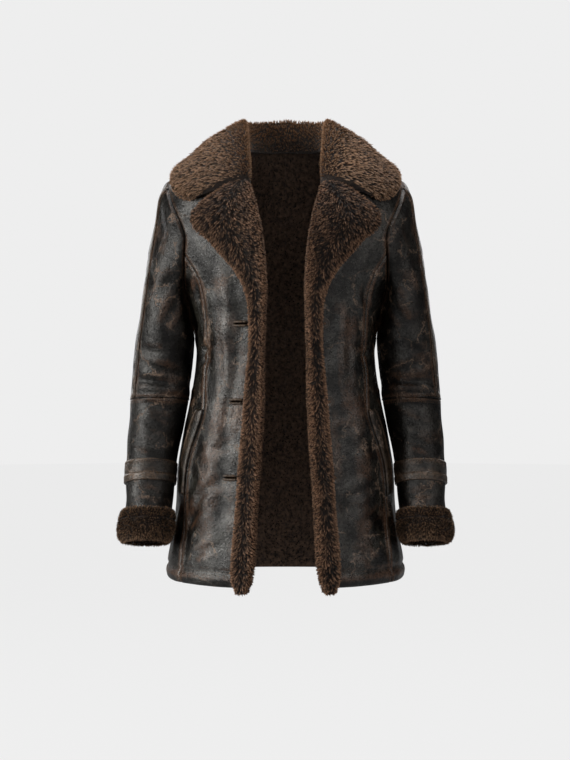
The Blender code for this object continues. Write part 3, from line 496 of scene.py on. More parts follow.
def head_point(turn, station):
    """Points between the armhole, station 0, the head's ring, 1, and the arm's first level ring, 2."""
    turn, station = np.broadcast_arrays(np.asarray(turn, float), np.asarray(station, float))
    cosine, sine = np.cos(np.radians(turn))[..., None], np.sin(np.radians(turn))[..., None]
    start = torso(*armhole_place(turn)) + torso_normal(*armhole_place(turn)) * np.maximum(0, -cosine)
    middle = SLEEVE_HEAD_CENTRE + cosine * SLEEVE_HEAD_UP - sine * np.array([0, SLEEVE_HEAD_HALF_DEPTH, 0])
    end, after = arm_point(turn, ARM_TOP), arm_point(turn, SLEEVE_RINGS[1][0])
    steady, along, either_way = SLEEVE_LEAVES
    leaving = steady + along * cosine + either_way * cosine**2
    leaving = leaving - np.array([0.0, SLEEVE_LEAVES_FORWARD, 0.0]) * sine
    passing, arriving = (end - start) / 2, (after - middle) / 2
    first = (station <= 1)[..., None]
    a, b = np.where(first, start, middle), np.where(first, middle, end)
    slope_a, slope_b = np.where(first, leaving, passing), np.where(first, passing, arriving)
    t = np.where(first, station[..., None], station[..., None] - 1)
    place = a * (1 + 2 * t) * (1 - t) ** 2 + b * t * t * (3 - 2 * t)
    return place + slope_a * t * (1 - t) ** 2 - slope_b * t * t * (1 - t)


def tube_normals(grid):
    """Outward directions of a grid whose rows go down the arm and whose columns go round it."""
    return unit(np.cross(np.gradient(grid, axis=1), np.gradient(grid, axis=0)))


print("elbow, outside and front:", arm_point([0, SIDE], ELBOW).round(0).tolist())

# %% [markdown]
# ## From grids to meshes
# Every piece here is a grid of points with a row for each height. A panel's grid is fine beside its seams,
# where the skin dips into the stitching, and wider in the middle. It becomes a closed wall: the skin
# outside, the wool inside 7 mm further in, and an edge between them. Numbers such as wear are stored on its
# points, for the material to read.

# %% Grids and meshes
NEAR_SEAM = np.array([0.0, 1.3, 2.6, 4.0, 5.6, 7.5, 9.8, 12.8])  # columns beside a seam, in mm from it
PITCH = 5.6  # mm between columns elsewhere
FINE_STEPS = 90
INSIDE_WEAR = 0.2


def places_across(total, steps, near_first=True, near_last=True):
    """Distances across a panel that is total wide, close together beside the edges that are sewn."""
    squeeze = np.minimum(1, total / (2.4 * NEAR_SEAM[-1]))[:, None]
    first = squeeze * (NEAR_SEAM if near_first else NEAR_SEAM[[0]])
    last = total[:, None] - squeeze * (NEAR_SEAM if near_last else NEAR_SEAM[[0]])[::-1]
    share = np.linspace(0, 1, steps + 1)[None, 1:-1]
    return np.concatenate([first, first[:, -1:] * (1 - share) + last[:, :1] * share, last], axis=1)


def walked_across(points):
    """How far each point of a grid is along its row."""
    return np.pad(np.cumsum(np.linalg.norm(np.diff(points, axis=1), axis=-1), axis=1), ((0, 0), (1, 0)))


def measured_across(surface, levels, first, last, near):
    """Each row's turns from first to last, spaced by real distance over the surface."""
    share = np.linspace(0, 1, FINE_STEPS)
    fine = first[:, None] * (1 - share) + last[:, None] * share
    walked = walked_across(surface(fine, levels[:, None]))
    widest = np.percentile(walked[:, -1], 80)
    places = places_across(walked[:, -1], max(2, round((widest - 2 * NEAR_SEAM[-1]) / PITCH)), *near)
    return np.array([np.interp(p, w, f) for p, w, f in zip(places, walked, fine)])


def edge_distances(points):
    """How far each point of a grid is, along its row and its column, from the grid's four edges."""
    from_first, from_bottom = walked_across(points), walked_across(np.swapaxes(points, 0, 1)).T
    return {"first": from_first, "last": from_first[:, -1:] - from_first,
            "bottom": from_bottom, "top": from_bottom[-1:] - from_bottom}


def make_object(name, points, faces, materials, slots=None, smooth=True, **numbers):
    """A mesh object from points in mm, faces that are all triangles or all quads, and numbers for points."""
    points, faces = np.asarray(points, np.float32) * MM, np.asarray(faces, np.int32)
    mesh = bpy.data.meshes.new(name)
    mesh.vertices.add(len(points))
    mesh.vertices.foreach_set("co", points.ravel())
    mesh.loops.add(faces.size)
    mesh.loops.foreach_set("vertex_index", faces.ravel())
    mesh.polygons.add(len(faces))
    mesh.polygons.foreach_set("loop_start", np.arange(len(faces), dtype=np.int32) * faces.shape[1])
    for material in materials:
        mesh.materials.append(material)
    if slots is not None:
        mesh.polygons.foreach_set("material_index", np.asarray(slots, np.int32))
    mesh.polygons.foreach_set("use_smooth", np.full(len(faces), smooth))
    for number, values in numbers.items():
        stored = mesh.attributes.new(number, "FLOAT", "POINT").data
        stored.foreach_set("value", np.asarray(values, np.float32).ravel())
    mesh.update(calc_edges=True)
    mesh.validate()
    made = bpy.data.objects.new(name, mesh)
    bpy.context.scene.collection.objects.link(made)
    return made


def grid_faces(rows, columns, closed=False):
    """The quads of a grid. A closed one joins its last column to its first."""
    r, c = np.meshgrid(np.arange(rows - 1), np.arange(columns if closed else columns - 1), indexing="ij")
    d = (c + 1) % columns
    corners = [r * columns + c, r * columns + d, (r + 1) * columns + d, (r + 1) * columns + c]
    return np.stack(corners, -1).reshape(-1, 4)


def ring_faces(rows, columns):
    """The quads of a grid that closes on itself both ways."""
    return grid_faces(rows + 1, columns, closed=True) % (rows * columns)


def with_pointed_ends(rings):
    """A row of rings, and one more at each end that is drawn in to a point."""
    ends = [np.broadcast_to(rings[k].mean(0), rings[k].shape) for k in (0, -1)]
    return np.concatenate([ends[:1], rings, ends[1:]])


def joined(forms):
    """The points and the quads of several closed grids of one size, for one mesh."""
    forms = np.asarray(forms)
    rows, columns = forms.shape[1:3]
    faces = grid_faces(rows, columns, closed=True)
    return forms.reshape(-1, 3), np.concatenate([faces + k * rows * columns for k in range(len(forms))])


def wall(name, outer, inner, materials, side, wear, closed=False):
    """A closed wall between two grids. The first material is for its outside and edges."""
    rows, columns = outer.shape[:2]
    skin = grid_faces(rows, columns, closed)
    index = np.arange(rows * columns).reshape(rows, columns)
    if closed:
        rims = [np.append(index[0], index[0, 0]), np.append(index[-1], index[-1, 0])[::-1]]
    else:
        rims = [np.concatenate([index[0], index[1:, -1], index[-1, -2::-1], index[-2::-1, 0]])]
    edges = [np.stack([r[1:], r[:-1], r[:-1] + index.size, r[1:] + index.size], -1) for r in rims]
    faces = np.concatenate([skin, skin[:, ::-1] + index.size, *edges])
    slots = np.concatenate([np.zeros(len(skin)), np.ones(len(skin)), np.zeros(sum(map(len, edges)))])
    points = np.concatenate([outer.reshape(-1, 3), inner.reshape(-1, 3)]) * (side, 1, 1)
    worn = np.concatenate([wear.ravel(), np.full(index.size, INSIDE_WEAR)])
    return make_object(name, points, faces if side > 0 else faces[:, ::-1], materials, slots, wear=worn)


def outward(made):
    """Turns a closed mesh's faces to point out, if they all point in."""
    mesh = made.data
    mesh.calc_loop_triangles()
    corners = np.empty(len(mesh.loop_triangles) * 3, np.int32)
    mesh.loop_triangles.foreach_get("vertices", corners)
    places = np.empty(len(mesh.vertices) * 3, np.float32)
    mesh.vertices.foreach_get("co", places)
    triangles = places.reshape(-1, 3).astype(float)[corners.reshape(-1, 3)]
    if np.einsum("ij,ij->i", triangles[:, 0], np.cross(triangles[:, 1], triangles[:, 2])).sum() < 0:
        mesh.flip_normals()
    return made


def put_on(made, slot, *nodes):
    """Every piece rides on the coat's one body. Some stand for the frame's own nodes."""
    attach(made, "root")
    if nodes:
        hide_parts(*nodes)
    return made


SIDES = ((1, "left"), (-1, "right"))

# %% [markdown]
# ## Creases and give
# Thick sheepskin never hangs smooth. It buckles in a few broad soft ridges, each with its own length and
# depth: across the elbow, from the underarm, over the hips and in the small of the back. Each crease is
# listed as a line on the surface, with a bow, and pressed in as a soft trough with raised lips. A
# negative depth makes a ridge, such as those at the side seams and inside the sleeves, which let the two
# touch above the elbow. Slow waves about a millimetre high do the rest, so that no highlight runs straight.

# %% Creases, listed one by one
# Columns: side, angle and level of the start, the same of the end, bow, half width, depth. Side 0 is both.
BODY_CREASES = (
    (-1, 28.5, -262, 30, -705, 2, 12, 1.0), (1, 29, -300, 30, -705, 2, 12, 0.8),
    (-1, 36, -222, 39, -440, 2, 21, -2.1), (-1, 38, -440, 39, -700, 3, 24, -2.0),
    (1, 37, -250, 39, -700, 3, 22, -1.8), (-1, 31, -205, 27, -470, 4, 10, -2.0),
    (-1, 37, -262, 33, -500, -5, 8, 1.5), (1, 33, -262, 31, -452, 3, 9, -1.5),
    (1, 38, -282, 35, -420, 2, 8, 1.2), (-1, 48, -330, 64, -352, 4, 6, 2.0),
    (-1, 50, -352, 68, -368, -2, 5, 1.4), (1, 44, -338, 62, -330, 3, 6, 1.8),
    (1, 48, -358, 66, -350, 2, 5, 1.4), (-1, 30, -558, 50, -618, 5, 9, 1.9),
    (-1, 35, -600, 58, -642, 4, 7, 1.4), (1, 27, -590, 49, -562, 5, 8, 1.7),
    (1, 36, -640, 60, -610, -4, 7, 1.5), (-1, 29, -668, 48, -690, 3, 7, 1.3),
    (1, 29, -676, 44, -700, 3, 7, 1.2), (-1, 50, -225, 60, -272, 3, 7, 1.7),
    (1, 48, -232, 58, -282, -3, 7, 1.7), (-1, 26, -500, 40, -520, 3, 7, 1.3),
    (1, 26, -478, 40, -470, 3, 7, 1.3), (0, 60, -585, 66, -700, 3, 10, 1.8),
    (0, 70, -420, 86, -432, 3, 7, 1.5), (0, 72, -300, 88, -322, 4, 7, 1.7),
    (1, 150, -333, 175, -345, 4, 8, 2.0), (-1, 146, -340, 172, -352, 4, 8, 1.8),
    (1, 140, -372, 168, -380, -3, 7, 1.6), (-1, 138, -384, 165, -378, 3, 7, 1.5),
    (1, 118, -208, 148, -255, 6, 11, 2.0), (-1, 116, -214, 146, -266, 6, 11, 1.9),
    (0, 128, -178, 150, -196, 4, 9, 1.3), (1, 161, -420, 164, -700, 4, 14, 2.1),
    (-1, 151, -430, 156, -690, -6, 14, 2.0), (0, 90, -262, 90, -342, 0, 18, -2.1),
    (0, 90, -234, 90, -302, 0, 15, -1.7), (1, 128, -450, 132, -722, 5, 13, 1.9),
    (-1, 124, -470, 130, -725, 5, 13, 1.8), (0, 100, -400, 118, -448, 4, 8, 1.6),
    (0, 100, -300, 122, -330, 4, 8, 1.8), (1, 108, -560, 128, -600, 4, 9, 1.5),
    (-1, 106, -520, 128, -566, 4, 9, 1.5),
)
# Columns: side, turn and z of the start, the same of the end, bow, half width, depth.
ARM_CREASES = (
    (-1, 45, -368, 135, -388, 4, 8, 2.6), (-1, 38, -396, 150, -408, 5, 7, 2.3),
    (-1, 62, -440, 132, -454, -4, 7, 1.9), (-1, 40, -345, 95, -352, 4, 8, 1.7),
    (-1, 70, -474, 120, -492, 3, 7, 1.5), (-1, 55, -506, 105, -524, -3, 7, 1.3),
    (1, 42, -362, 128, -384, 5, 8, 2.5), (1, 36, -402, 146, -398, -5, 7, 2.2),
    (1, 66, -448, 128, -440, 4, 7, 1.8), (1, 48, -352, 92, -340, 3, 8, 1.6),
    (1, 60, -486, 118, -474, 3, 7, 1.5), (1, 64, -522, 110, -508, 3, 7, 1.2),
    (0, 10, -377, 44, -383, 3, 7, 1.5), (0, 8, -412, 40, -408, 2, 7, 1.4),
    (0, 182, -388, 300, -398, 5, 9, 2.3), (0, 190, -414, 286, -420, -4, 8, 2.0),
    (0, 200, -448, 280, -462, 4, 8, 1.7), (0, 210, -352, 290, -346, 4, 9, 1.6),
    (1, 205, -500, 262, -520, 3, 8, 1.4), (-1, 215, -490, 270, -512, 3, 8, 1.4),
    (0, 60, -590, 128, -600, 3, 6, 1.2), (0, 220, -596, 300, -606, 3, 6, 1.2),
)
# Columns: side, turn and station of the start, the same of the end, bow, half width, depth.
HEAD_CREASES = (
    (-1, 110, 0.9, 68, 1.55, 4, 10, 2.3), (-1, 128, 1.1, 88, 1.8, 4, 8, 1.9),
    (1, 112, 0.85, 70, 1.5, 4, 10, 2.2), (1, 130, 1.15, 92, 1.75, 4, 8, 1.8),
    (0, 60, 0.5, 52, 1.1, 3, 10, 1.3), (0, 246, 0.8, 296, 1.5, 5, 11, 2.1),
    (0, 180, 0.25, 180, 1.98, 0, 18, -2.05), (0, 180, 0.02, 180, 1.2, 0, 15, -1.6),
    (0, 228, 1.1, 272, 1.75, 4, 9, 1.8), (0, 300, 0.5, 306, 1.2, 3, 10, 1.4),
    (0, 10, 1.25, 40, 1.35, 3, 9, 1.2),
)
CREASE_STEPS = 13
CREASE_SHARE = 1.8  # deeper than the tables say, so that they read under soft light
# Swells: amount, distance of the middle, half width. Here the distances are in a crease's half widths.
CREASE_PROFILE = ((1.0, 0.0, 1.0), (-0.38, 1.7, 0.75))
RUBBED_RIDGE, RUBBED_LIPS = ((1.0, 0.0, 0.6),), ((1.0, 1.5, 0.6),)
CREASE_TAPER = 0.7


def swells(distance, table):
    """The sum of smooth swells: an amount for each, which falls away on both sides of its middle."""
    return sum(amount * np.exp(-((distance - middle) / half) ** 2) for amount, middle, half in table)


def crease_lines(table, surface, side):
    """Each crease that this side has, as points on its surface with a half width and a depth."""
    lines = []
    for which, first, low, last, high, bow, half_width, depth in table:
        if which not in (0, side):
            continue
        t = np.linspace(0, 1, CREASE_STEPS)
        bowed = bow * np.sin(np.pi * t)
        line = surface(first + (last - first) * t + bowed, low + (high - low) * t)
        lines.append((line, half_width, depth * CREASE_SHARE))
    return lines


def pressed(points, lines):
    """How far each point sinks, and how much of that is a raised ridge or lip."""
    sunk, raised = np.zeros(points.shape[:-1]), np.zeros(points.shape[:-1])
    for line, half_width, depth in lines:
        nearest = np.full(points.shape[:-1], np.inf)
        place = np.zeros(points.shape[:-1])
        for k, (a, b) in enumerate(zip(line[:-1], line[1:])):
            along = np.clip(((points - a) @ (b - a)) / ((b - a) @ (b - a)), 0, 1)
            far = np.linalg.norm(points - a - along[..., None] * (b - a), axis=-1)
            closer = far < nearest
            nearest = np.where(closer, far, nearest)
            place = np.where(closer, (k + along) / (len(line) - 1), place)
        taper = np.sin(np.pi * np.clip(place, 0.0, 1.0)) ** CREASE_TAPER
        across = nearest / half_width
        sunk += depth * taper * swells(across, CREASE_PROFILE)
        raised += abs(depth) * taper * swells(across, RUBBED_RIDGE if depth < 0 else RUBBED_LIPS)
    return sunk, raised


WAVES = np.random.default_rng(7)
WAVE_COUNT = 26
WAVE_DIRECTIONS = unit(WAVES.normal(size=(WAVE_COUNT, 3))) * 2 * np.pi \
    / WAVES.uniform(26, 95, (WAVE_COUNT, 1))
WAVE_PHASES = WAVES.uniform(0, 2 * np.pi, WAVE_COUNT)


def give(points):
    """A slow unevenness of the hide, between about -1 and 1."""
    return np.sin(points @ WAVE_DIRECTIONS.T + WAVE_PHASES).sum(-1) / math.sqrt(WAVE_COUNT / 2) * 0.6


print("creases:", len(BODY_CREASES) + len(ARM_CREASES) + len(HEAD_CREASES))

# %% [markdown]
# ## Leather panels
# The panels lap by a few millimetres and are sewn through, so every seam is a dark groove between two
# puffed edges, with stitching pulled in beside it. Each panel is one wall: its outside takes the seam's
# profile, the creases and the give, and its inside is the hide's plain wool. The hem rolls in at its edge,
# puffs out, and is pulled in by one row of stitches, with the hide rubbed brown beside them.

# %% Leather panels
STITCH_FROM_SEAM, SECOND_STITCH, HEM_STITCH = 3.4, 8.2, 24.0
# Heights of the skin beside an edge, as swells in mm.
SEAM_PROFILE = (
    (-1.7, 0.0, 1.4), (0.8, 5.6, 3.4), (-0.45, STITCH_FROM_SEAM, 1.0), (-0.45, SECOND_STITCH, 1.0),
)
LAPPED_PROFILE = ((0.9, 0.0, 3.4), (-0.45, STITCH_FROM_SEAM, 1.0))  # the upper sleeve's end, over the forearm
TUCKED_PROFILE = ((-1.0, 0.0, 1.6),)  # the forearm's start, below that end
HEM_PROFILE = ((1.9, 13.0, 7.0), (-2.1, HEM_STITCH, 2.6))
HEM_ROLL, HEM_ROLL_WIDTH = 3.0, 4.5
# Wear beside an edge, also as swells.
SEAM_WEAR = ((0.3, 4.5, 3.8),)
HEM_WEAR = ((0.3, 15.0, 5.5), (0.16, 30.0, 3.5))
CREASE_WEAR, MOST_RAISED = 0.12, 1.6
GIVE_HEIGHT, GIVE_FROM_SEAM, GIVE_LEFT_AT_SEAM = 1.2, 14.0, 0.25
CREASE_FROM_SEAM = 5.0
FAR_FROM_SEAMS = 60.0


def creased(points, lines, from_seam):
    """How high the creases and the give lift each point, less near a seam, and how worn each is."""
    sunk, raised = pressed(points, lines)
    calm = np.clip(from_seam / GIVE_FROM_SEAM, GIVE_LEFT_AT_SEAM, 1)
    height = GIVE_HEIGHT * give(points) * calm - sunk * np.clip(from_seam / CREASE_FROM_SEAM, 0, 1)
    return height, swells(from_seam, SEAM_WEAR) + CREASE_WEAR * np.minimum(raised, MOST_RAISED)


def dressed(points, normals, sewn, lines, hem=None, lapped=None):
    """The points with their seams, creases and give, and how worn each is."""
    distances = edge_distances(points)
    profiles = [(edge, SEAM_PROFILE) for edge in sewn]
    if lapped is not None:
        profiles.append((lapped, LAPPED_PROFILE))
    height = np.zeros(points.shape[:-1])
    nearest = np.full(points.shape[:-1], FAR_FROM_SEAMS)
    for edge, profile in profiles:
        height += swells(distances[edge], profile)
        nearest = np.minimum(nearest, distances[edge])
    lifted, wear = creased(points, lines, nearest)
    height += lifted
    if hem is not None:
        rolled = HEM_ROLL * np.maximum(0, 1 - distances[hem] / HEM_ROLL_WIDTH) ** 2
        height += swells(distances[hem], HEM_PROFILE) - rolled
        wear += swells(distances[hem], HEM_WEAR)
    return points + normals * height[..., None], wear


def levels_between(low, high, keep=()):
    """Levels about PITCH apart, close together at both ends, that include those in keep."""
    ends = [low, *sorted(level for level in keep if low < level < high), high]
    levels = [low + NEAR_SEAM[:-1]]
    for a, b in zip(ends[:-1], ends[1:]):
        first = a + (NEAR_SEAM[-1] if a == low else 0)
        last = b - (NEAR_SEAM[-1] if b == high else 0)
        levels.append(np.linspace(first, last, max(2, round((last - first) / PITCH)) + 1)[:-1])
    return np.unique(np.round(np.concatenate([*levels, high - NEAR_SEAM[::-1]]), 2))


panel_grids = {}


def body_panel(name, side, suffix, levels, first, last, sewn, near):
    """A leather panel between two seams, given as functions from level to angle."""
    levels = np.asarray(levels)
    angles = measured_across(torso, levels, first(levels), last(levels), near)
    places = np.broadcast_to(levels[:, None], angles.shape)
    points, normals = torso(angles, places), torso_normal(angles, places)
    lines = crease_lines(BODY_CREASES, torso, side)
    outer, wear = dressed(points, normals, sewn, lines, "bottom")
    inner = points - normals * WALL
    made = wall(f"leather_{name}_{suffix}", outer, inner, [panel_leather, inside_wool], side, wear)
    panel_grids[f"{name}_{suffix}"] = (outer, normals, points)
    return put_on(outward(made), "leather", f"{name}_{suffix}")


def back_middle_angle(level):
    return np.full(np.shape(level), BACK)


body_levels, side_levels = levels_between(HEM, 0.0), levels_between(HEM, PRINCESS_TOP)
BOTH_SEWN = ("first", "last"), (True, True)
for side, suffix in SIDES:
    for name, levels, first, last, (sewn, near) in (
            ("front", body_levels, front_edge_angle, front_outer_angle, (("last",), (False, True))),
            ("side_front", side_levels, princess_angle, side_outer_angle, BOTH_SEWN),
            ("back", body_levels, back_outer_angle, back_middle_angle, BOTH_SEWN)):
        body_panel(name, side, suffix, levels, first, last, sewn, near)

# %% [markdown]
# ## Sleeves
# The upper sleeve is two panels, joined by the seam down the outer front of the arm and the one under it.
# The forearm is one tube below the elbow's seam. Sewn on a slope, the head of the sleeve puffs a little as
# it leaves the body. The creases gather round the elbow, where a real sleeve breaks.

# %% Sleeves
SLEEVE_ROUND, HEAD_LENGTH = 345.0, 95.0  # mm round the arm, and from the armhole to the head's ring
SEAM_COLUMNS = 5  # that a panel's steps are fewer by, because its two seams bring their own
FOREARM_MM_PER_DEGREE = 0.8
NORMALS_EASED, EASING = 6, 1.5  # rows of the head that turn from the body's direction to the sleeve's


def sleeve_grid(turns, rows):
    """Points of the sleeve at each row: (station, None) on the head, or (None, z) on the arm."""
    return np.array([arm_point(turns, z) if at is None else head_point(turns, at) for at, z in rows])


def upper_rows():
    near = NEAR_SEAM / HEAD_LENGTH
    first = np.concatenate([near, np.linspace(near[-1], 1.0, 15)[1:]])
    second = 1 + np.linspace(0, 1, 26)[1:]
    rows = [(float(t), None) for t in np.concatenate([first, second])]
    level = np.concatenate([np.linspace(ARM_TOP, ELBOW + NEAR_SEAM[-1], 17)[1:], ELBOW + NEAR_SEAM[-2::-1]])
    return rows + [(None, float(z)) for z in level]


def forearm_rows():
    level = np.concatenate([ELBOW - NEAR_SEAM, np.linspace(ELBOW - NEAR_SEAM[-1], SLEEVE_END, 41)[1:]])
    return [(None, float(z)) for z in level]


sleeve_lines = {
    side: crease_lines(ARM_CREASES, arm_point, side) + crease_lines(HEAD_CREASES, head_point, side)
    for side, _ in SIDES
}
UPPER, LOWER = upper_rows(), forearm_rows()


def sleeve_normals(points, turns):
    """Outward directions from the whole tube, so that two panels agree along their seams."""
    normals = tube_normals(points)
    downward = np.sqrt(np.maximum(0, -np.cos(np.radians(turns))))[:, None]
    start = torso_normal(*armhole_place(turns)) * (1 - downward) + np.array([0.0, 0.0, -1.0]) * downward
    blend = np.linspace(1, 0, NORMALS_EASED)[:, None, None] ** EASING
    normals[:NORMALS_EASED] = unit(unit(start) * blend + normals[:NORMALS_EASED] * (1 - blend))
    return normals


def pointing_out(normals, points, row=5):
    """The directions, or their opposites if in this row they point to the middle of the arm."""
    inward = np.einsum("ij,ij->i", normals[row], points[row] - points[row].mean(0)).sum() < 0
    return -normals if inward else normals


def sleeve_panel(name, side, suffix, first, last):
    width = np.array([(last - first) / 360 * SLEEVE_ROUND])
    steps = round(width[0] / PITCH) - SEAM_COLUMNS
    turns = first + (last - first) * places_across(width, steps)[0] / width[0]
    downward = sleeve_grid(turns, UPPER)
    points = downward[::-1]
    normals = pointing_out(sleeve_normals(downward, turns)[::-1], points)
    outer, wear = dressed(points, normals, ("first", "last", "top"), sleeve_lines[side], lapped="bottom")
    inner = points - normals * WALL
    made = wall(f"leather_{name}_{suffix}", outer, inner, [sleeve_leather_painted_shade, inside_wool], side, wear)
    panel_grids[f"{name}_{suffix}"] = (outer, normals, points)
    return put_on(outward(made), "leather", f"{name}_{suffix}")


def forearm(side, suffix):
    turns = np.arange(0, 360, 6.0)
    points = sleeve_grid(turns, LOWER)
    wrapped = np.concatenate([points[:, -1:], points, points[:, :1]], axis=1)
    normals = pointing_out(tube_normals(wrapped)[:, 1:-1], points)
    from_elbow = edge_distances(points)["bottom"]
    from_under = np.abs(turns - UNDERARM_TURN)[None, :] * np.ones((len(LOWER), 1)) * FOREARM_MM_PER_DEGREE
    lifted, wear = creased(points, sleeve_lines[side], np.minimum(from_elbow, from_under))
    height = swells(from_elbow, TUCKED_PROFILE) + swells(from_under, SEAM_PROFILE) + lifted
    outer, inner = points + normals * height[..., None], points - normals * WALL
    made = wall(f"leather_forearm_{suffix}", outer, inner, [sleeve_leather_painted_shade, inside_wool], side, wear,
                closed=True)
    panel_grids[f"forearm_{suffix}"] = (outer, normals, points)
    return put_on(outward(made), "leather", f"forearm_{suffix}")


for side, suffix in SIDES:
    for name, first, last in (("sleeve_front", OVERARM_TURN, UNDERARM_TURN),
                              ("sleeve_back", UNDERARM_TURN, 360 + OVERARM_TURN)):
        sleeve_panel(name, side, suffix, first, last)
    forearm(side, suffix)

# %% [markdown]
# ## Wool as tufts
# The coat's pale wool is the hide's own fleece, clipped to a thumb's width and brushed. It lies in wisps
# about 3 mm wide, with dark gaps between them. A hair system's hairs would be thinner than a pixel, so here
# a wisp is a tuft of six blades, each of two long triangles, with their tips drawn together. Tufts are sown
# over a fine grid of the frame's own wool form. They root in a felted core below its surface and end at it,
# so the wool reaches just as far as the frame says. The grid carries a direction for the wool to lie in.

# %% Sowing tufts
BLADES_IN_TUFT = 6
TUFT_SPREAD, TUFT_CLUMPING = 1.4, 0.8  # mm that its roots lie apart by, and how far its tips draw together
BLADE_WIDTH, BLADE_BELLY = 0.85, 0.52  # mm, and how far along a blade is at its widest
TURN_SPREAD, LEAN_SPREAD, MOST_LEAN = 0.24, 7, 80  # in radians and degrees: no two tufts lie alike
TIP_SPREAD = 0.35
TUFT_TINT_SPREAD, BLADE_TINT_SPREAD = 0.25, 0.07


def spline(grid, at, closed=False):
    """The grid at fractional places along its first axis, on smooth curves through its own points."""
    at, count = np.asarray(at, float), len(grid)
    i = np.floor(at).astype(int) if closed else np.clip(np.floor(at).astype(int), 0, count - 2)
    around = [(i + k) % count if closed else np.clip(i + k, 0, count - 1) for k in (-1, 0, 1, 2)]
    a, b, c, d = (grid[k] for k in around)
    t = (at - i).reshape(-1, *[1] * (grid.ndim - 1))
    return (2 * b + (c - a) * t + (2 * a - 5 * b + 4 * c - d) * t**2 + (3 * b - a - 3 * c + d) * t**3) / 2


def across_spline(grid, at, closed=False):
    return np.swapaxes(spline(np.swapaxes(grid, 0, 1), at, closed), 0, 1)


def out_of(skin, form):
    """Unit directions square to a skin, away from the middles of the closed form that it lies on."""
    if skin is form:
        around = np.roll(skin, -1, axis=1) - np.roll(skin, 1, axis=1)
    else:
        around = np.gradient(skin, axis=1)
    normals = unit(np.cross(around, np.gradient(skin, axis=0)))
    away = skin - form.mean(axis=1, keepdims=True)
    return normals if (normals * away).sum() > 0 else -normals


def grow(name, finish, side, grid, normals, flow, lean, length, cover, tint, count, seed,
         width=BLADE_WIDTH, uneven=TUFT_TINT_SPREAD):
    """Sows count tufts over a grid. lean is in degrees from upright. cover says how thickly they stand."""
    random = np.random.default_rng(seed)
    corners = (slice(None, -1), slice(None, -1)), (slice(None, -1), slice(1, None)), \
        (slice(1, None), slice(None, -1)), (slice(1, None), slice(1, None))
    a, b, c, d = (grid[k] for k in corners)
    weight = np.linalg.norm(np.cross(d - a, c - b), axis=-1) / 2 * sum(cover[k] for k in corners) / 4
    total = np.cumsum(weight.ravel())
    cell = np.searchsorted(total, (np.arange(count) + random.random(count)) / count * total[-1])
    cell = np.minimum(cell, weight.size - 1)
    random.shuffle(cell)
    u, v = random.random((2, count))
    shares = (1 - u) * (1 - v), (1 - u) * v, u * (1 - v), u * v

    def at(values):
        """What the grid's values come to at each tuft's place in its cell."""
        return sum(values[k].reshape(weight.size, -1)[cell] * share[:, None]
                   for k, share in zip(corners, shares))

    place, up = at(grid), unit(at(normals))
    ahead = at(flow)
    ahead = unit(ahead - up * (ahead * up).sum(-1, keepdims=True))
    aside = np.cross(up, ahead)
    turn = random.normal(0, TURN_SPREAD, (count, 1))
    ahead, aside = ahead * np.cos(turn) + aside * np.sin(turn), aside * np.cos(turn) - ahead * np.sin(turn)
    tilt = np.radians(np.clip(at(lean) + random.normal(0, LEAN_SPREAD, (count, 1)), 0, MOST_LEAN))
    reach = at(length)
    root = place - up * reach * np.cos(np.radians(at(lean)))
    course = (up * np.cos(tilt) + ahead * np.sin(tilt)) * reach * random.uniform(0.84, 1.08, (count, 1))
    tone = np.clip(at(tint) + random.normal(0, uneven, (count, 1)), 0, 1)

    def each(values):
        return np.repeat(values, BLADES_IN_TUFT, axis=0)

    blades = count * BLADES_IN_TUFT
    angle, far = random.uniform(0, 2 * np.pi, (blades, 1)), np.sqrt(random.random((blades, 1))) * TUFT_SPREAD
    offset = each(ahead) * np.cos(angle) * far + each(aside) * np.sin(angle) * far
    base = each(root) + offset
    tip = each(root) + each(course) * random.uniform(0.82, 1.06, (blades, 1)) + offset * (1 - TUFT_CLUMPING)
    tip = tip + random.normal(0, TIP_SPREAD, (blades, 3))
    arch = each(up) * each(reach) * random.uniform(0.02, 0.13, (blades, 1))
    middle = base * (1 - BLADE_BELLY) + tip * BLADE_BELLY + arch
    direction = unit(tip - base)
    flat = unit(np.cross(direction, each(up) + random.normal(0, 0.3, (blades, 3))))
    half = flat * width / 2 * random.uniform(0.7, 1.2, (blades, 1))
    points = np.stack([base, middle - half, middle + half, tip], axis=1).reshape(-1, 3) * (side, 1, 1)
    first = np.arange(blades)[:, None] * 4
    faces = np.concatenate([first + (0, 1, 2), first + (1, 3, 2)])
    tones = np.clip(each(tone) + random.normal(0, BLADE_TINT_SPREAD, (blades, 1)), 0, 1)
    along = np.tile([0.0, BLADE_BELLY, BLADE_BELLY, 1.0], blades)
    made = make_object(name, points, faces, [finish], along=along, tint=np.repeat(tones, 4))
    print(name, blades * 2, "triangles")
    return made


CURLS = np.random.default_rng(5)
CURL_WAVES = unit(CURLS.normal(size=(9, 3))) * 2 * np.pi / CURLS.uniform(9, 22, (9, 1))
CURL_PHASES = CURLS.uniform(0, 2 * np.pi, 9)


def curls(points):
    """How the fleece gathers in locks about a centimetre wide: between about -1 and 1."""
    return np.sin(points @ CURL_WAVES.T + CURL_PHASES).sum(-1) / 3


def felt_core(name, finish, side, grid, sunk):
    """The felted body under the tufts: a closed form's grid, with its skin drawn in by sunk."""
    core = with_pointed_ends(grid - out_of(grid, grid) * sunk[..., None])
    faces = grid_faces(*core.shape[:2], closed=True)
    return outward(make_object(name, core.reshape(-1, 3) * (side, 1, 1), faces, [finish]))


def sideways(columns, middle, sharpness):
    """-1 before the middle column and 1 after it, turning over at the parting."""
    return np.tanh((columns - middle) / sharpness)
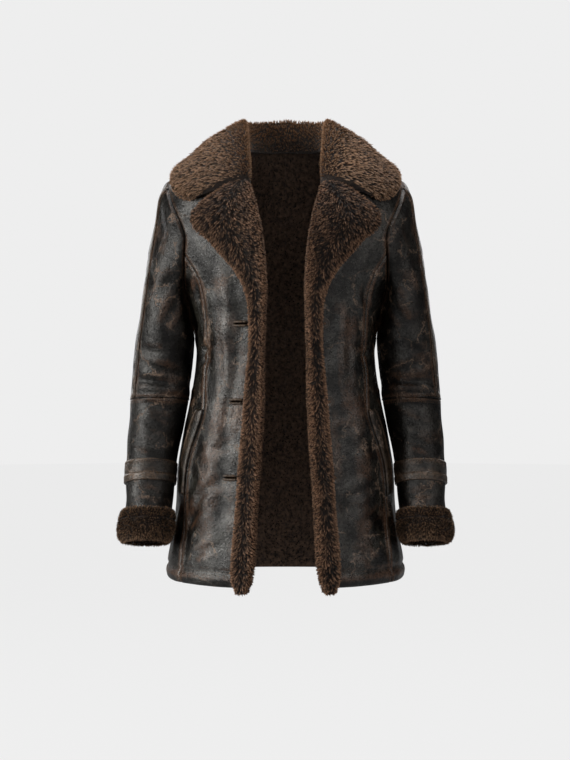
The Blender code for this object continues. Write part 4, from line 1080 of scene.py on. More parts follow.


# %% [markdown]
# ## The front facings
# The fronts turn back on themselves, so the fleece of the inside shows as a lapel above the waist and a
# band below. Brushed from the middle to both sides and down, it lies in a herringbone like an ear of wheat.
# Along both edges runs a rim about a centimetre wide, where the fleece is shorter and more even, and
# stands up more. The rims and the facing's sides are painted paler there, as painted light on the edges, and
# the parting is painted darker, as painted shade.

# %% Facings
LAID_ON = 0.5
FACING_PILE, FACING_BELOW_HEM = 17.0, 10.0
# Round the facing's section. Columns: how far across, a shift in mm, and the height off the coat.
FACING_SECTION = (
    (0.0, 6.1, -WALL), (0.0, 6.1, LAID_ON), (0.4, 4.0, 1.4), (0.75, 0.0, 1.6), (1.0, -2.5, 1.0),
    (1.0, 0.0, 6.0), (1.0, -3.5, 0.78 * FACING_PILE), (0.7, 0.0, FACING_PILE), (0.35, 0.0, FACING_PILE + 1.0),
    (0.0, 4.5, 0.8 * FACING_PILE), (0.0, 0.0, 5.0), (0.0, 0.5, -3.0), (0.0, 3.0, -WALL),
)
FIRST_PILE_POINT = 4  # the section's points from here on carry fleece
FACING_TUFTS, FACING_PARTING = 9600, 3.6
FACING_RIMS, RIM_HALF_WIDTH = (2.25, 4.85), 6.0  # columns of the fleece that the rims follow, and mm
UPRIGHT_LEAN, FACING_LEAN = 28, 31  # degrees on the rims, and how many more in the field between them
UPRIGHT_PILE, FACING_LONGER = 7.2, 4.0


def facing_rings():
    across, shift, out = np.array(FACING_SECTION).T
    rings = []
    for z, inner_x, outer_x in FACING:
        angle, level = on_front(inner_x * (1 - across) + outer_x * across + shift, z)
        rings.append(torso(angle, level) + torso_normal(angle, level) * out[:, None])
    z, inner_x, outer_x = HEM + 0.3, FACING[-1][1] + 1, FACING[-1][2] - 1
    for down, shrink in ((0.5, 0.95), (1.0, 0.6)):
        x = inner_x * (1 - across) + outer_x * across + shift
        angle, level = on_front((inner_x + outer_x) / 2 * (1 - shrink) + x * shrink, z)
        risen = np.where(out > LAID_ON, out * shrink, out)
        ring = torso(angle, level) + torso_normal(angle, level) * risen[:, None]
        rings.append(ring - np.array([0, 0, down * FACING_BELOW_HEM]))
    return np.array(rings)


rings = facing_rings()
rows = np.linspace(0, len(rings) - 1, 5 * len(rings))
pile_columns = np.linspace(0, len(FACING_SECTION) - 1 - FIRST_PILE_POINT, 27)
facing_skin = across_spline(spline(rings, rows)[:, FIRST_PILE_POINT:], pile_columns)
closed_columns = np.arange(0, len(FACING_SECTION), 0.4)
facing_form = across_spline(spline(rings, rows), closed_columns, closed=True)
facing_up = out_of(facing_skin, facing_form)
s = np.broadcast_to(pile_columns, facing_skin.shape[:2])
on_face = np.clip(np.minimum(s - 1.6, 5.6 - s) / 0.8, 0, 1)
across_way, down_way = unit(np.gradient(facing_skin, axis=1)), unit(np.gradient(facing_skin, axis=0))
facing_flow = across_way * (sideways(s, FACING_PARTING, 0.22) * 0.66)[..., None] + down_way * 0.76
walked = walked_across(facing_skin)
rims_at = [np.array([np.interp(column, pile_columns, row) for row in walked])[:, None]
           for column in FACING_RIMS]
rim = np.minimum(1, swells(walked, [(1.0, at, RIM_HALF_WIDTH) for at in rims_at]))
on_field = on_face * (1 - 0.75 * rim)
facing_lean = UPRIGHT_LEAN + FACING_LEAN * on_field
facing_length = UPRIGHT_PILE + FACING_LONGER * on_field + 1.1 * on_field * curls(facing_skin)
facing_cover = np.where(s > 7.4, 0.5, 1.0)
slow = np.sin(facing_skin[..., 2] / 19 + 2 * np.sin(facing_skin[..., 2] / 47)) * 0.06
# Painted light and shade: the tint is paler on the rims and the sides, and darker along the parting.
facing_tint_and_painted_light = 0.36 - 0.07 * on_face + slow + 0.16 * on_field * curls(facing_skin) + 0.5 * rim \
    - swells(s, [(0.1, FACING_PARTING, 0.25)])
sunk = np.interp(closed_columns, [0, 3.6, 5.2, 6.4, 9.4, 11, 12.6], [0.5, 0.5, 5.0, 5.5, 5.5, 4.5, 0.5])
sunk = np.broadcast_to(sunk, facing_form.shape[:2])
facing_cores, facing_tufts = {}, {}
for side, suffix in SIDES:
    facing_cores[suffix] = felt_core(f"facing_core_{suffix}", underwool_painted_shade, side, facing_form, sunk)
    put_on(facing_cores[suffix], "wool", f"facing_{suffix}")
    facing_tufts[suffix] = grow(
        f"facing_tufts_{suffix}", facing_wool, side, facing_skin, facing_up, facing_flow, facing_lean,
        facing_length, facing_cover, facing_tint_and_painted_light, FACING_TUFTS, 11 + side)
    put_on(facing_tufts[suffix], "wool")

# %% [markdown]
# ## The collar
# The collar is one broad piece that stands up round the neck and falls over the shoulders. Its fleece is
# brushed from the neckline to the edge, like thatch. It is painted darker near the notch, as painted shade
# in the hollows there. It is more even than the facings', and painted paler, as painted light on a piece
# that faces up: palest towards the crest, with a paler line along its rolled edge. Its frame is written as
# a few sections from the notch round to the back, and mirrored.

# %% Collar
COLLAR_FRONT = (
    (63.0, -69, 150, -102.5), (63.0, -60, 166, -101.5), (64.0, -46, 180, -91), (66.5, -28, 187, -80),
    (69.0, -14, 190, -70),
)
COLLAR_BACK = (
    (72, 84, -62), (82, 91, -60), (93, 99, -58), (106, 109, -56), (119, 121, -54), (133, 134, -52),
    (148, 148, -50), (164, 164, -49), (180, 180, -48),
)
COLLAR_STAND = (45.0, 56.0)
COLLAR_STAND_WALL, COLLAR_NOTCH_RISE, COLLAR_NOTCH_WALL, COLLAR_NOTCH_PILE = 13.0, 19.0, 6.0, 0.72
COLLAR_FOOT_IN, COLLAR_FOOT_DROP, COLLAR_FACES_Y = 4.0, 5.0, 10.0
COLLAR_FALL = (
    (0.0, 1.45), (0.07, 2.0), (0.3, 2.4), (0.6, 2.8), (0.85, 3.2), (0.97, 4.6), (1.0, 9.0), (0.95, 15.5),
    (0.82, 20.5), (0.62, 24.0), (0.4, 27.0), (0.2, 31.0),
)
COLLAR_UNDERSIDE_MOST = 5.0
COLLAR_CREST = ((1.0, 0.0, 0.15), (1.0, 1.5, 0.7), (1.0, 9.0, 1.05), (0.45, 0.0, 1.1))
COLLAR_FIRST_PILE, COLLAR_LAST_PILE = 6.6, 18.95  # from the edge's underside, over the crest, to the foot
COLLAR_TUFTS, COLLAR_TINT_SPREAD = 14600, 0.11
COLLAR_LEAN, COLLAR_PILE, COLLAR_LONGER = 28, 7.8, 3.2


def collar_ring(neck, edge, turn):
    """The collar's section from the neckline to its edge. turn is 0 at the notch and 1 round the neck."""
    behind = max(0.0, neck[0] - SIDE) / (BACK - SIDE)
    stand = COLLAR_STAND[0] * (1 - behind) + COLLAR_STAND[1] * behind
    height = COLLAR_NOTCH_RISE * (1 - turn) + stand * turn
    stand_wall = COLLAR_NOTCH_WALL * (1 - turn) + COLLAR_STAND_WALL * turn
    pile = COLLAR_NOTCH_PILE * (1 - turn) + turn
    foot, normal = torso(*neck), torso_normal(*neck)
    inward = unit(np.array([-foot[0], COLLAR_FACES_Y - foot[1], 0.0]))
    inward = unit(inward * turn + np.array([-1.0, 0.0, 0.0]) * (1 - turn))
    rise = unit(normal * (1 - turn) + np.array([0.0, 0.0, 1.0]) * turn)
    under = foot + inward * COLLAR_FOOT_IN
    points = [foot + inward * stand_wall - rise * COLLAR_FOOT_DROP, under - normal * WALL, under + normal]
    for across, out in COLLAR_FALL:
        angle, level = (neck[k] * (1 - across) + edge[k] * across for k in (0, 1))
        risen = out if out < COLLAR_UNDERSIDE_MOST else out * pile
        points.append(torso(angle, level) + torso_normal(angle, level) * risen)
    for up, drop, across in COLLAR_CREST:
        points.append(foot + rise * (height * up - drop) + inward * stand_wall * across)
    return np.array(points)


half = []
for i, (neck_x, neck_z, edge_x, edge_z) in enumerate(COLLAR_FRONT):
    neck, edge = ([float(v) for v in on_front(x, z)] for x, z in ((neck_x, neck_z), (edge_x, edge_z)))
    half.append(collar_ring(neck, edge, (i / len(COLLAR_FRONT)) ** 1.3))
for neck_angle, edge_angle, edge_level in COLLAR_BACK:
    half.append(collar_ring((float(neck_angle), -0.5), (float(edge_angle), float(edge_level)), 1.0))
half[-1][:, 0] = 0
rings = np.array(half + [ring * (-1, 1, 1) for ring in half[-2::-1]])
rows = np.linspace(0, len(rings) - 1, 5 * len(rings))
ROUNDING_PASSES = 2  # the fleece rounds the crest and the edge
crest_height = rings[:, :, 2].max(1)
for _ in range(ROUNDING_PASSES):
    eased = (np.roll(rings, 1, axis=1) + 2 * rings + np.roll(rings, -1, axis=1)) / 4
    rings[:, 9:18] = eased[:, 9:18]
rings[:, 13:18, 2] += (crest_height - rings[:, :, 2].max(1))[:, None]  # and it stands as high as before
collar_columns = np.linspace(COLLAR_FIRST_PILE, COLLAR_LAST_PILE, 36)
closed_columns = np.arange(0, rings.shape[1], 0.45)
collar_form = across_spline(spline(rings, rows), closed_columns, closed=True)
collar_skin = across_spline(spline(rings, rows), collar_columns, closed=True)
collar_up = out_of(collar_skin, collar_form)
s = np.broadcast_to(collar_columns, collar_skin.shape[:2])
on_face = np.clip(np.minimum(s - 9.6, 14.9 - s) / 1.0, 0, 1)
to_edge = -unit(np.gradient(collar_skin, axis=1))
outside = np.clip(15.5 - s, 0, 1)[..., None]
collar_flow = to_edge + np.array([0.0, 0.0, -0.3]) * outside
collar_lean = UPRIGHT_LEAN + COLLAR_LEAN * on_face
collar_length = COLLAR_PILE + COLLAR_LONGER * on_face + 1.1 * on_face * curls(collar_skin)
# Painted shade: the tint is darker near the notch. Painted light: it is paler all over, most towards the
# crest, and along the rolled edge.
notch_painted_shade = swells(np.minimum(rows, rows[-1] - rows), [(1.0, 0.0, 2.0)])[:, None]
patches = 0.08 * np.sin(rows * 1.9)[:, None] * np.sin(s * 1.3) + 0.05 * np.sin(rows * 4.3 + 1)[:, None]
crest_painted_light = np.clip((s - 11.5) / 3, 0, 1)
collar_tint_and_painted_light = 0.8 - 0.02 * on_face + 0.2 * crest_painted_light + 0.11 * curls(collar_skin) - 0.2 * notch_painted_shade \
    + patches + swells(s, [(0.12, 9.6, 1.0)])
sunk = np.interp(closed_columns, [0, 1, 6.2, 7.4, 9.0, 15, 17.5, 18.5],
                 [1.5, 0.5, 0.5, 4.0, 5.5, 5.5, 5.0, 2.5])
sunk = np.broadcast_to(sunk, collar_form.shape[:2])
collar_core = put_on(felt_core("collar_core", underwool_painted_shade, 1, collar_form, sunk), "wool", "collar")
collar_tufts = put_on(
    grow("collar_tufts", collar_wool_painted_light, 1, collar_skin, collar_up, collar_flow, collar_lean, collar_length,
         np.ones(s.shape), collar_tint_and_painted_light, COLLAR_TUFTS, 21, uneven=COLLAR_TINT_SPREAD), "wool")

# %% [markdown]
# ## The cuffs
# At the wrist the sleeve's end is turned back, and its fleece makes a soft ring, darker than the collar's.
# Nothing has brushed it, so it stands up, with a lean: upwards at the top, and downwards at the end of the
# sleeve. Its tint is painted paler towards both rims, as painted light on its rolled rims.

# %% Cuffs
CUFF_SECTION = (
    (-619, 0.7), (-616, 4.0), (-622, 8.5), (-641, 11.0), (-658, 9.5), (-669, 4.5), (-672, -2.0), (-668, -8.0),
    (-661, -9.0), (-656, -7.5), (-656, 0.7),
)
CUFF_TUFTS = 4900


def round_forearm(section_points, turns):
    """Points round the forearm, at heights along it and distances out from its leather."""
    z, out = np.array(section_points, float).T
    middle = np.stack([sleeve["centre_x"](z), sleeve["centre_y"](z), z], -1)
    drop = np.stack([0 * z, 0 * z, np.minimum(z - SLEEVE_END, 0)], -1)
    place = arm_point(turns[:, None], np.maximum(z, SLEEVE_END)[None, :]) + drop
    return place + unit(place - middle) * out[:, None]


turns = np.arange(0, 360, 5.0)
rings = round_forearm(CUFF_SECTION, turns)
cuff_columns = np.linspace(0.6, 8.6, 22)
closed_columns = np.arange(0, len(CUFF_SECTION), 0.45)
cuff_form = across_spline(rings, closed_columns, closed=True)
cuff_skin = across_spline(rings, cuff_columns, closed=True)
cuff_skin = np.concatenate([cuff_skin, cuff_skin[:1]])
cuff_up = out_of(cuff_skin, np.concatenate([cuff_form, cuff_form[:1]]))
s = np.broadcast_to(cuff_columns, cuff_skin.shape[:2])
cuff_flow = unit(np.gradient(cuff_skin, axis=1)) * sideways(s, 2.6, 0.8)[..., None]
cuff_lean = 18 + 16 * np.abs(sideways(s, 2.6, 1.2))
cuff_length = 7.0 + 0.8 * curls(cuff_skin)
# Painted light: the tint is paler towards the cuff's two rims.
cuff_tint_and_painted_light = 0.44 + 0.14 * curls(cuff_skin) + 0.3 * np.clip(np.abs(s - 3.2) / 2.4 - 0.4, 0, 1)
sunk = np.interp(closed_columns, [0, 1, 2, 8, 9, 10.5], [0.5, 4.0, 5.5, 5.0, 2.0, 0.5])
wrapped = np.concatenate([cuff_form[-1:], cuff_form, cuff_form[:1]])
cuff_inset = cuff_form - out_of(wrapped, wrapped)[1:-1] * sunk[:, None]
cuff_cores, cuff_tufts = {}, {}
for side, suffix in SIDES:
    cuff_cores[suffix] = outward(make_object(f"cuff_core_{suffix}", cuff_inset.reshape(-1, 3) * (side, 1, 1),
                                             ring_faces(*cuff_inset.shape[:2]), [underwool_painted_shade]))
    put_on(cuff_cores[suffix], "wool", f"wool_cuff_{suffix}")
    cuff_tufts[suffix] = grow(
        f"cuff_tufts_{suffix}", cuff_wool, side, cuff_skin, cuff_up, cuff_flow, cuff_lean, cuff_length,
        np.ones(s.shape), cuff_tint_and_painted_light, CUFF_TUFTS, 31 + side)
    put_on(cuff_tufts[suffix], "wool")

# %% [markdown]
# ## Strips, straps and welts
# Three kinds of narrow leather are laid on the panels: a strip over the seam down each sleeve, a strap
# round each wrist, and a welt along each pocket. Their edges are rubbed brown, because they stand proud.
# Each is a small loft: a rounded section, carried along a line on the coat. The strap is folded double
# along its lower third, so it is thicker and paler there.

# %% Strips, straps and welts
PROUD_WEAR = 0.5  # wear on a strip's proudest edge


def lofted(name, rings, finish, side, wear, closed=False):
    """A closed form through a row of rings. Unless it closes on itself, its ends draw in to a point."""
    rings = np.asarray(rings)
    worn = np.broadcast_to(wear, rings.shape[:2])
    if closed:
        faces = ring_faces(*rings.shape[:2])
    else:
        rings = with_pointed_ends(rings)
        worn = np.concatenate([worn[:1], worn, worn[-1:]])
        faces = grid_faces(*rings.shape[:2], closed=True)
    points = rings.reshape(-1, 3) * (side, 1, 1)
    return outward(make_object(name, points, faces, [finish], wear=worn * PROUD_WEAR))


def along_sleeve(turn, low_z):
    """Points down the sleeve at one turn, with the ways out of it and round it."""
    stations, levels = np.linspace(0.06, 2, 44), np.linspace(ARM_TOP, low_z, 26)[1:]
    lines = [np.concatenate([head_point(t, stations), arm_point(t, levels)])
             for t in (turn - 1, turn, turn + 1)]
    around = unit(lines[2] - lines[0])
    out = unit(np.cross(around, np.gradient(lines[1], axis=0)))
    out = out if (out * (lines[1] - np.array([205, 0, 0]))).sum() > 0 else -out
    return lines[1], out, around


def low_ends(count, least):
    """1 along a row of rings, and down to least at its first and last."""
    return np.minimum(1, np.minimum(np.arange(count), np.arange(count)[::-1]) / 2 + least)[:, None, None]


STRIP_HALF_WIDTH, STRIP_THICKNESS = 3.5, 2.2
# Columns: how far across from -1 to 1, how high from 0 to 1, wear.
STRIP_SECTION = (
    (-1.0, 0.0, 0.3), (-1.0, 0.5, 0.55), (-0.85, 0.85, 0.6), (-0.6, 0.92, 0.42), (-0.45, 0.74, 0.1),
    (-0.25, 0.95, 0.3), (0.0, 1.0, 0.38), (0.25, 0.95, 0.3), (0.45, 0.74, 0.1), (0.6, 0.92, 0.42),
    (0.85, 0.85, 0.6), (1.0, 0.5, 0.55), (1.0, 0.0, 0.3),
)
STRAP_SECTION = (
    (0.00, 0.0, 0.3), (0.00, 0.6, 0.5), (0.03, 0.92, 0.6), (0.08, 1.0, 0.35), (0.12, 0.78, 0.1),
    (0.16, 1.0, 0.25), (0.35, 1.06, 0.1), (0.55, 1.0, 0.2), (0.62, 0.86, 0.3), (0.65, 0.82, 0.2),
    (0.67, 1.2, 0.62), (0.72, 1.34, 0.6), (0.85, 1.3, 0.45), (0.92, 1.1, 0.2), (0.96, 1.3, 0.5),
    (0.99, 1.1, 0.62), (1.00, 0.6, 0.5), (1.00, 0.0, 0.3),
)
STRAP_THICKNESS, STRAP_GIVE, STRAP_WAVES = 2.6, 0.35, 1.6  # its waves are 1.6 times as close as the panels'
WELT = (
    (-444, 148.0), (-453, 153.0), (-482, 163.0), (-512, 170.5), (-543, 176.5), (-572, 178.5), (-592, 178.0),
)
WELT_RINGS = 40
WELT_THICKNESS, WELT_FROM_SEAM = 4.5, 0.6
WELT_SECTION = (
    (0.00, 0.0, 0.2), (0.00, 0.5, 0.3), (0.06, 0.8, 0.35), (0.25, 0.98, 0.2), (0.5, 1.04, 0.15),
    (0.66, 0.98, 0.2), (0.74, 0.8, 0.1), (0.80, 0.98, 0.45), (0.92, 0.98, 0.65), (0.99, 0.7, 0.7),
    (1.00, 0.3, 0.5), (1.00, 0.0, 0.3),
)
welt_x = curves_of(WELT, ("z", "x"))["x"]
strips, straps, welts = {}, {}, {}
for side, suffix in SIDES:
    line, out, around = along_sleeve(OVERARM_TURN, ELBOW + 0.5)
    across, high, wear = np.array(STRIP_SECTION).T
    sideways_by = (across * STRIP_HALF_WIDTH)[:, None] * low_ends(len(line), 0.5)
    rings = line[:, None] + around[:, None] * sideways_by \
        + out[:, None] * (LAID_ON + high * STRIP_THICKNESS)[:, None]
    made = lofted(f"strip_over_seam_{suffix}", rings, strip_leather, side, wear)
    strips[suffix] = put_on(made, "leather_trim", f"overarm_strip_{suffix}")

    down, high, wear = np.array(STRAP_SECTION).T
    levels = STRAP_TOP + (STRAP_BOTTOM - STRAP_TOP) * down
    rings = round_forearm(np.stack([levels, LAID_ON + high * STRAP_THICKNESS], -1), np.arange(0, 360, 5.0))
    loose, outwards = rings[:, 2:-2], unit(rings - rings.mean(0))[:, 2:-2]
    rings[:, 2:-2] += outwards * STRAP_GIVE * give(loose * STRAP_WAVES)[..., None]
    made = lofted(f"strap_{suffix}", rings, strip_leather, side, wear, closed=True)
    straps[suffix] = put_on(made, "leather_trim", f"cuff_strap_{suffix}")

    across, high, wear = np.array(WELT_SECTION).T
    levels = np.linspace(WELT[0][0] - 0.5, WELT[-1][0] + 0.5, WELT_RINGS)[:, None]
    first, last = princess_angle(levels) + WELT_FROM_SEAM, angle_at(welt_x(levels), levels)
    angles = first + (last - first) * across
    lift = LAID_ON + (high * WELT_THICKNESS)[:, None] * low_ends(WELT_RINGS, 0.4)
    rings = torso(angles, levels) + torso_normal(angles, levels) * lift
    made = lofted(f"welt_{suffix}", rings, strip_leather, side, wear)
    welts[suffix] = put_on(made, "leather_trim", f"pocket_welt_{suffix}")
print("strip:", len(strips["left"].data.polygons), "strap:", len(straps["left"].data.polygons), "quads")

# %% [markdown]
# ## Buttonholes and buttons
# On the wearer's right are three bound buttonholes: leather folded to two plump lips, with a slit between
# them painted near black as painted shade. On the left are three horn buttons, each with a raised rim, four
# holes and a cross of thread, half hidden by the wool. A button is turned from its profile, and its holes are
# drilled with a Boolean, as the real ones are.

# %% Buttonholes and buttons
FASTENING_HEIGHTS = (-303.0, -431.0, -556.0)
BUTTONHOLE_FROM_FACING, BUTTON_FROM_FACING, UNDER_SMALL_PIECE = 13.5, 2.5, 0.2
LIP_LENGTH, LIP_OFF_SLIT, LIP_HALF_WIDTH, LIP_HEIGHT = 25.0, 3.2, 2.1, 2.6
SLIT_HALF_WIDTH, SLIT_HEIGHT = 1.4, 1.0
SMALL_ENDS = -0.35  # a lip or a slit is cut off flat below this share of its height
LIP_WEAR, LIP_TOP_WEAR = 1.1, 0.5
BUTTON_SIDES, HOLE_FROM_MIDDLE, HOLE_SIDES = 48, 2.3, 12
HOLE_PROFILE = ((0.95, -0.5), (0.95, 3.4))
# Columns: how far across from hole to hole, height. The thread is 1.1 mm wide and 0.9 mm thick.
THREAD_PATH = ((-1, -1.5), (-1, 0.0), (-0.55, 0.7), (0.0, 0.95), (0.55, 0.7), (1, 0.0), (1, -1.5))
THREAD_HALF_WIDTH, THREAD_HALF_HEIGHT, THREAD_SIDES, OVER_FIRST_THREAD = 0.55, 0.45, 8, 0.55
# Columns: radius, height.
BUTTON_PROFILE = (
    (0.0, 0.0), (6.5, 0.0), (8.3, 0.6), (8.9, 1.4), (9.0, 2.2), (8.9, 3.0), (8.5, 3.45), (7.9, 3.6),
    (7.3, 3.5), (6.8, 3.1), (6.3, 2.6), (5.6, 2.4), (4.2, 2.35), (0.0, 2.35),
)
BUTTON_FACE = BUTTON_PROFILE[-1][1]


def frame_on_front(x, z):
    """The point and the outward, sideways and upward directions at a place on the left front."""
    angle, level = on_front(x, z)
    out = torso_normal(angle, level)
    up = unit(np.array([0.0, 0.0, 1.0]) - out * out[2])
    return torso(angle, level), out, np.cross(up, out), up


def bound_buttonhole(number, z):
    place, out, across, up = frame_on_front(facing["outer_x"](z) + BUTTONHOLE_FROM_FACING, z)
    around = np.linspace(0, 2 * np.pi, 15)[:-1]
    stops = np.sin(np.linspace(-1, 1, 17) * np.pi / 2)
    wide, high = np.outer(np.cos(around), up), np.outer(np.maximum(np.sin(around), SMALL_ENDS), out)
    raised = out * (UNDER_SMALL_PIECE - SMALL_ENDS * LIP_HEIGHT)
    spindles = []
    for lip in (1, -1):
        rings = []
        for stop in stops:
            full = max(0.12, (1 - abs(stop) ** 6) ** 0.5)
            middle = place + across * stop * LIP_LENGTH / 2 + up * lip * LIP_OFF_SLIT * (0.55 + 0.45 * full)
            plump = full * (1 + 0.08 * math.sin(9 * stop + number + lip))
            rings.append(middle + (wide * LIP_HALF_WIDTH + high * LIP_HEIGHT) * plump + raised)
        spindles.append(with_pointed_ends(np.array(rings)))
    # The slit between the lips is a third, flat spindle, painted near black as painted shade for the hole's
    # inside.
    slit = [place + across * stop * LIP_LENGTH * 0.47 + wide * SLIT_HALF_WIDTH * max(0.1, 1 - stop**2) ** 0.5
            + high * SLIT_HEIGHT for stop in stops]
    spindles.append(with_pointed_ends(np.array(slit)))
    points, faces = joined(spindles)
    ring_wear = LIP_WEAR + LIP_TOP_WEAR * np.maximum(np.sin(around), 0)
    wear = np.outer([1] * 2 * len(spindles[0]) + [0] * len(spindles[0]), ring_wear)
    slots = np.repeat([0, 0, 1], len(faces) // 3)
    made = make_object(f"buttonhole_lips_{number}", points * (-1, 1, 1), faces, [strip_leather, slit_painted_shade],
                       slots, wear=wear * PROUD_WEAR)
    return put_on(outward(made), "leather_trim", f"buttonhole_{number}")


def turned_points(profile, sides, place, out, across, up):
    around = np.linspace(0, 2 * np.pi, sides + 1)[:-1]
    spokes = np.outer(np.cos(around), across) + np.outer(np.sin(around), up)
    return np.array([place + spokes * radius + out * height for radius, height in profile])


def thread_arm(middle, reach, out):
    """One arm of the cross of thread, from hole to hole, as rings."""
    around = np.linspace(0, 2 * np.pi, THREAD_SIDES + 1)[:-1]
    ring = np.outer(np.cos(around), unit(np.cross(reach, out))) * THREAD_HALF_WIDTH \
        + np.outer(np.sin(around), out) * THREAD_HALF_HEIGHT
    rings = [middle + reach * far + out * high + ring for far, high in THREAD_PATH]
    return with_pointed_ends(np.array(rings))


def drill_out(made, drill):
    """Takes the drill's form out of a mesh, and the drill out of the scene."""
    cut = made.modifiers.new("holes", "BOOLEAN")
    cut.operation, cut.solver, cut.object = "DIFFERENCE", "EXACT", drill
    bpy.context.view_layer.update()
    drilled = bpy.data.meshes.new_from_object(made.evaluated_get(bpy.context.evaluated_depsgraph_get()))
    made.modifiers.clear()
    made.data = drilled
    bpy.data.objects.remove(drill)


def horn_button(number, z):
    place, out, across, up = frame_on_front(facing["outer_x"](z) + BUTTON_FROM_FACING, z)
    place = place + out * UNDER_SMALL_PIECE
    rings = turned_points(BUTTON_PROFILE, BUTTON_SIDES, place, out, across, up)[1:-1]
    button = lofted(f"button_of_horn_{number}", rings, horn, 1, 0.0)
    twist = 0.5 + 0.35 * number
    turns = [twist + k * np.pi / 2 for k in range(4)]
    reaches = [(across * math.cos(turn) + up * math.sin(turn)) * HOLE_FROM_MIDDLE for turn in turns]
    points, faces = joined([
        with_pointed_ends(turned_points(HOLE_PROFILE, HOLE_SIDES, place + reach, out, across, up))
        for reach in reaches])
    drill_out(button, outward(make_object(f"drill_{number}", points, faces, [horn])))
    points, faces = joined([
        thread_arm(place + out * (BUTTON_FACE + OVER_FIRST_THREAD * arm), reaches[arm], out)
        for arm in (0, 1)])
    put_on(outward(make_object(f"button_thread_{number}", points, faces, [thread])), "horn")
    return put_on(button, "horn", f"button_{number}")


for number, z in enumerate(FASTENING_HEIGHTS, 1):
    bound_buttonhole(number, z)
    made = horn_button(number, z)
print("button:", len(made.data.polygons), "faces")

# %% [markdown]
# ## Stitching
# One or two rows of heavy thread hold each seam. A stitch is 3 mm long, hardly two pixels, so each is a
# small spindle of eight triangles, set a little into the skin. A row follows its panel's own grid at a
# fixed distance from the edge, so it rides over every crease. All the rows on one side of the coat are one
# mesh.

# %% Stitches
STITCH_PITCH, STITCH_LENGTH, STITCH_WIDTH, STITCH_HEIGHT = 4.2, 3.0, 0.75, 0.55
OVERARM_STITCH = 6.2  # clear of the strip over the seam
STRAP_STITCHES = ((0.12, 0.86), (0.63, 0.95), (0.92, 1.16))  # how far down the strap, and how high on it
WELT_STITCH_ACROSS, WELT_STITCH_HIGH = 0.74, 0.84
WELT_STITCH_TOP, WELT_STITCH_BOTTOM = -450, -588


def row_beside(key, edge, distance):
    """A line on a panel's skin at a distance from one of its edges, and the ways out of the skin there."""
    outer, normals, points = panel_grids[key]
    far = edge_distances(points)[edge]
    if edge in ("top", "bottom"):
        outer, normals, far = np.swapaxes(outer, 0, 1), np.swapaxes(normals, 0, 1), far.T
    line, out = [], []
    for k in range(len(far)):
        if far[k].max() <= 2 * distance + 4:  # the panel is too narrow here for its rows of stitches
            continue
        order = np.argsort(far[k])
        line.append([np.interp(distance, far[k][order], outer[k, order, axis]) for axis in range(3)])
        out.append([np.interp(distance, far[k][order], normals[k, order, axis]) for axis in range(3)])
    return np.array(line), unit(np.array(out))


def stitched(line, out, side):
    """The points of a row of stitches along a line: six for each."""
    walked = walked_across(line[None])[0]
    at = np.arange(STITCH_PITCH, walked[-1] - STITCH_PITCH, STITCH_PITCH)
    here, ahead, up = (np.stack([np.interp(far, walked, values[:, k]) for k in range(3)], -1)
                       for far, values in ((at, line), (at + 1, line), (at, out)))
    up, way = unit(up), unit(ahead - here)
    aside = np.cross(up, way)
    wide, high = aside * STITCH_WIDTH / 2, up * STITCH_HEIGHT
    ends = way * STITCH_LENGTH / 2
    corners = [here - ends, here + ends, here + wide, here - wide, here + high, here - high * 0.6]
    return np.stack(corners, axis=1) * (side, 1, 1)


STITCH_FACES = np.array([
    (0, 2, 4), (0, 4, 3), (0, 3, 5), (0, 5, 2), (1, 4, 2), (1, 3, 4), (1, 5, 3), (1, 2, 5),
])
# Columns: panel, edge, distances from it.
STITCHED_SEAMS = (
    ("front", "last", (STITCH_FROM_SEAM, SECOND_STITCH)), ("side_front", "first", (STITCH_FROM_SEAM,)),
    ("side_front", "last", (STITCH_FROM_SEAM,)), ("back", "first", (STITCH_FROM_SEAM,)),
    ("back", "last", (STITCH_FROM_SEAM, SECOND_STITCH)), ("front", "bottom", (HEM_STITCH,)),
    ("side_front", "bottom", (HEM_STITCH,)), ("back", "bottom", (HEM_STITCH,)),
    ("sleeve_front", "first", (OVERARM_STITCH,)), ("sleeve_back", "last", (OVERARM_STITCH,)),
    ("sleeve_front", "bottom", (STITCH_FROM_SEAM,)), ("sleeve_back", "bottom", (STITCH_FROM_SEAM,)),
    ("forearm", "bottom", (STITCH_FROM_SEAM, SECOND_STITCH)),
)
for side, suffix in SIDES:
    rows_of_stitches = []
    for panel, edge, distances in STITCHED_SEAMS:
        for distance in distances:
            line, out = row_beside(f"{panel}_{suffix}", edge, distance)
            if panel == "forearm":
                line, out = np.concatenate([line, line[:1]]), np.concatenate([out, out[:1]])
            rows_of_stitches.append(stitched(line, out, side))
    turns = np.arange(0, 361, 4.0)
    for share, high in STRAP_STITCHES:
        z = STRAP_TOP + (STRAP_BOTTOM - STRAP_TOP) * share
        line = round_forearm([(z, LAID_ON + high * STRAP_THICKNESS)], turns)[:, 0]
        rows_of_stitches.append(stitched(line, unit(line - line.mean(0)), side))
    levels = np.linspace(WELT_STITCH_TOP, WELT_STITCH_BOTTOM, 40)
    angles = princess_angle(levels) + WELT_FROM_SEAM
    angles = angles + (angle_at(welt_x(levels), levels) - angles) * WELT_STITCH_ACROSS
    out = torso_normal(angles, levels)
    line = torso(angles, levels) + out * (LAID_ON + WELT_STITCH_HIGH * WELT_THICKNESS)
    rows_of_stitches.append(stitched(line, out, side))
    points = np.concatenate(rows_of_stitches)
    faces = (np.arange(len(points))[:, None, None] * 6 + STITCH_FACES).reshape(-1, 3)
    made = put_on(make_object(f"stitches_{suffix}", points.reshape(-1, 3), faces, [thread]), "leather_trim")
    print(f"stitches, {suffix}:", len(points))

# %% [markdown]
# ## The fleece inside
# Through the open front one sees the coat's inside, where the fleece is short and a little curly. It is
# sown on the inner faces of the body, thickly on the back, which is in view, and thinly at the sides.

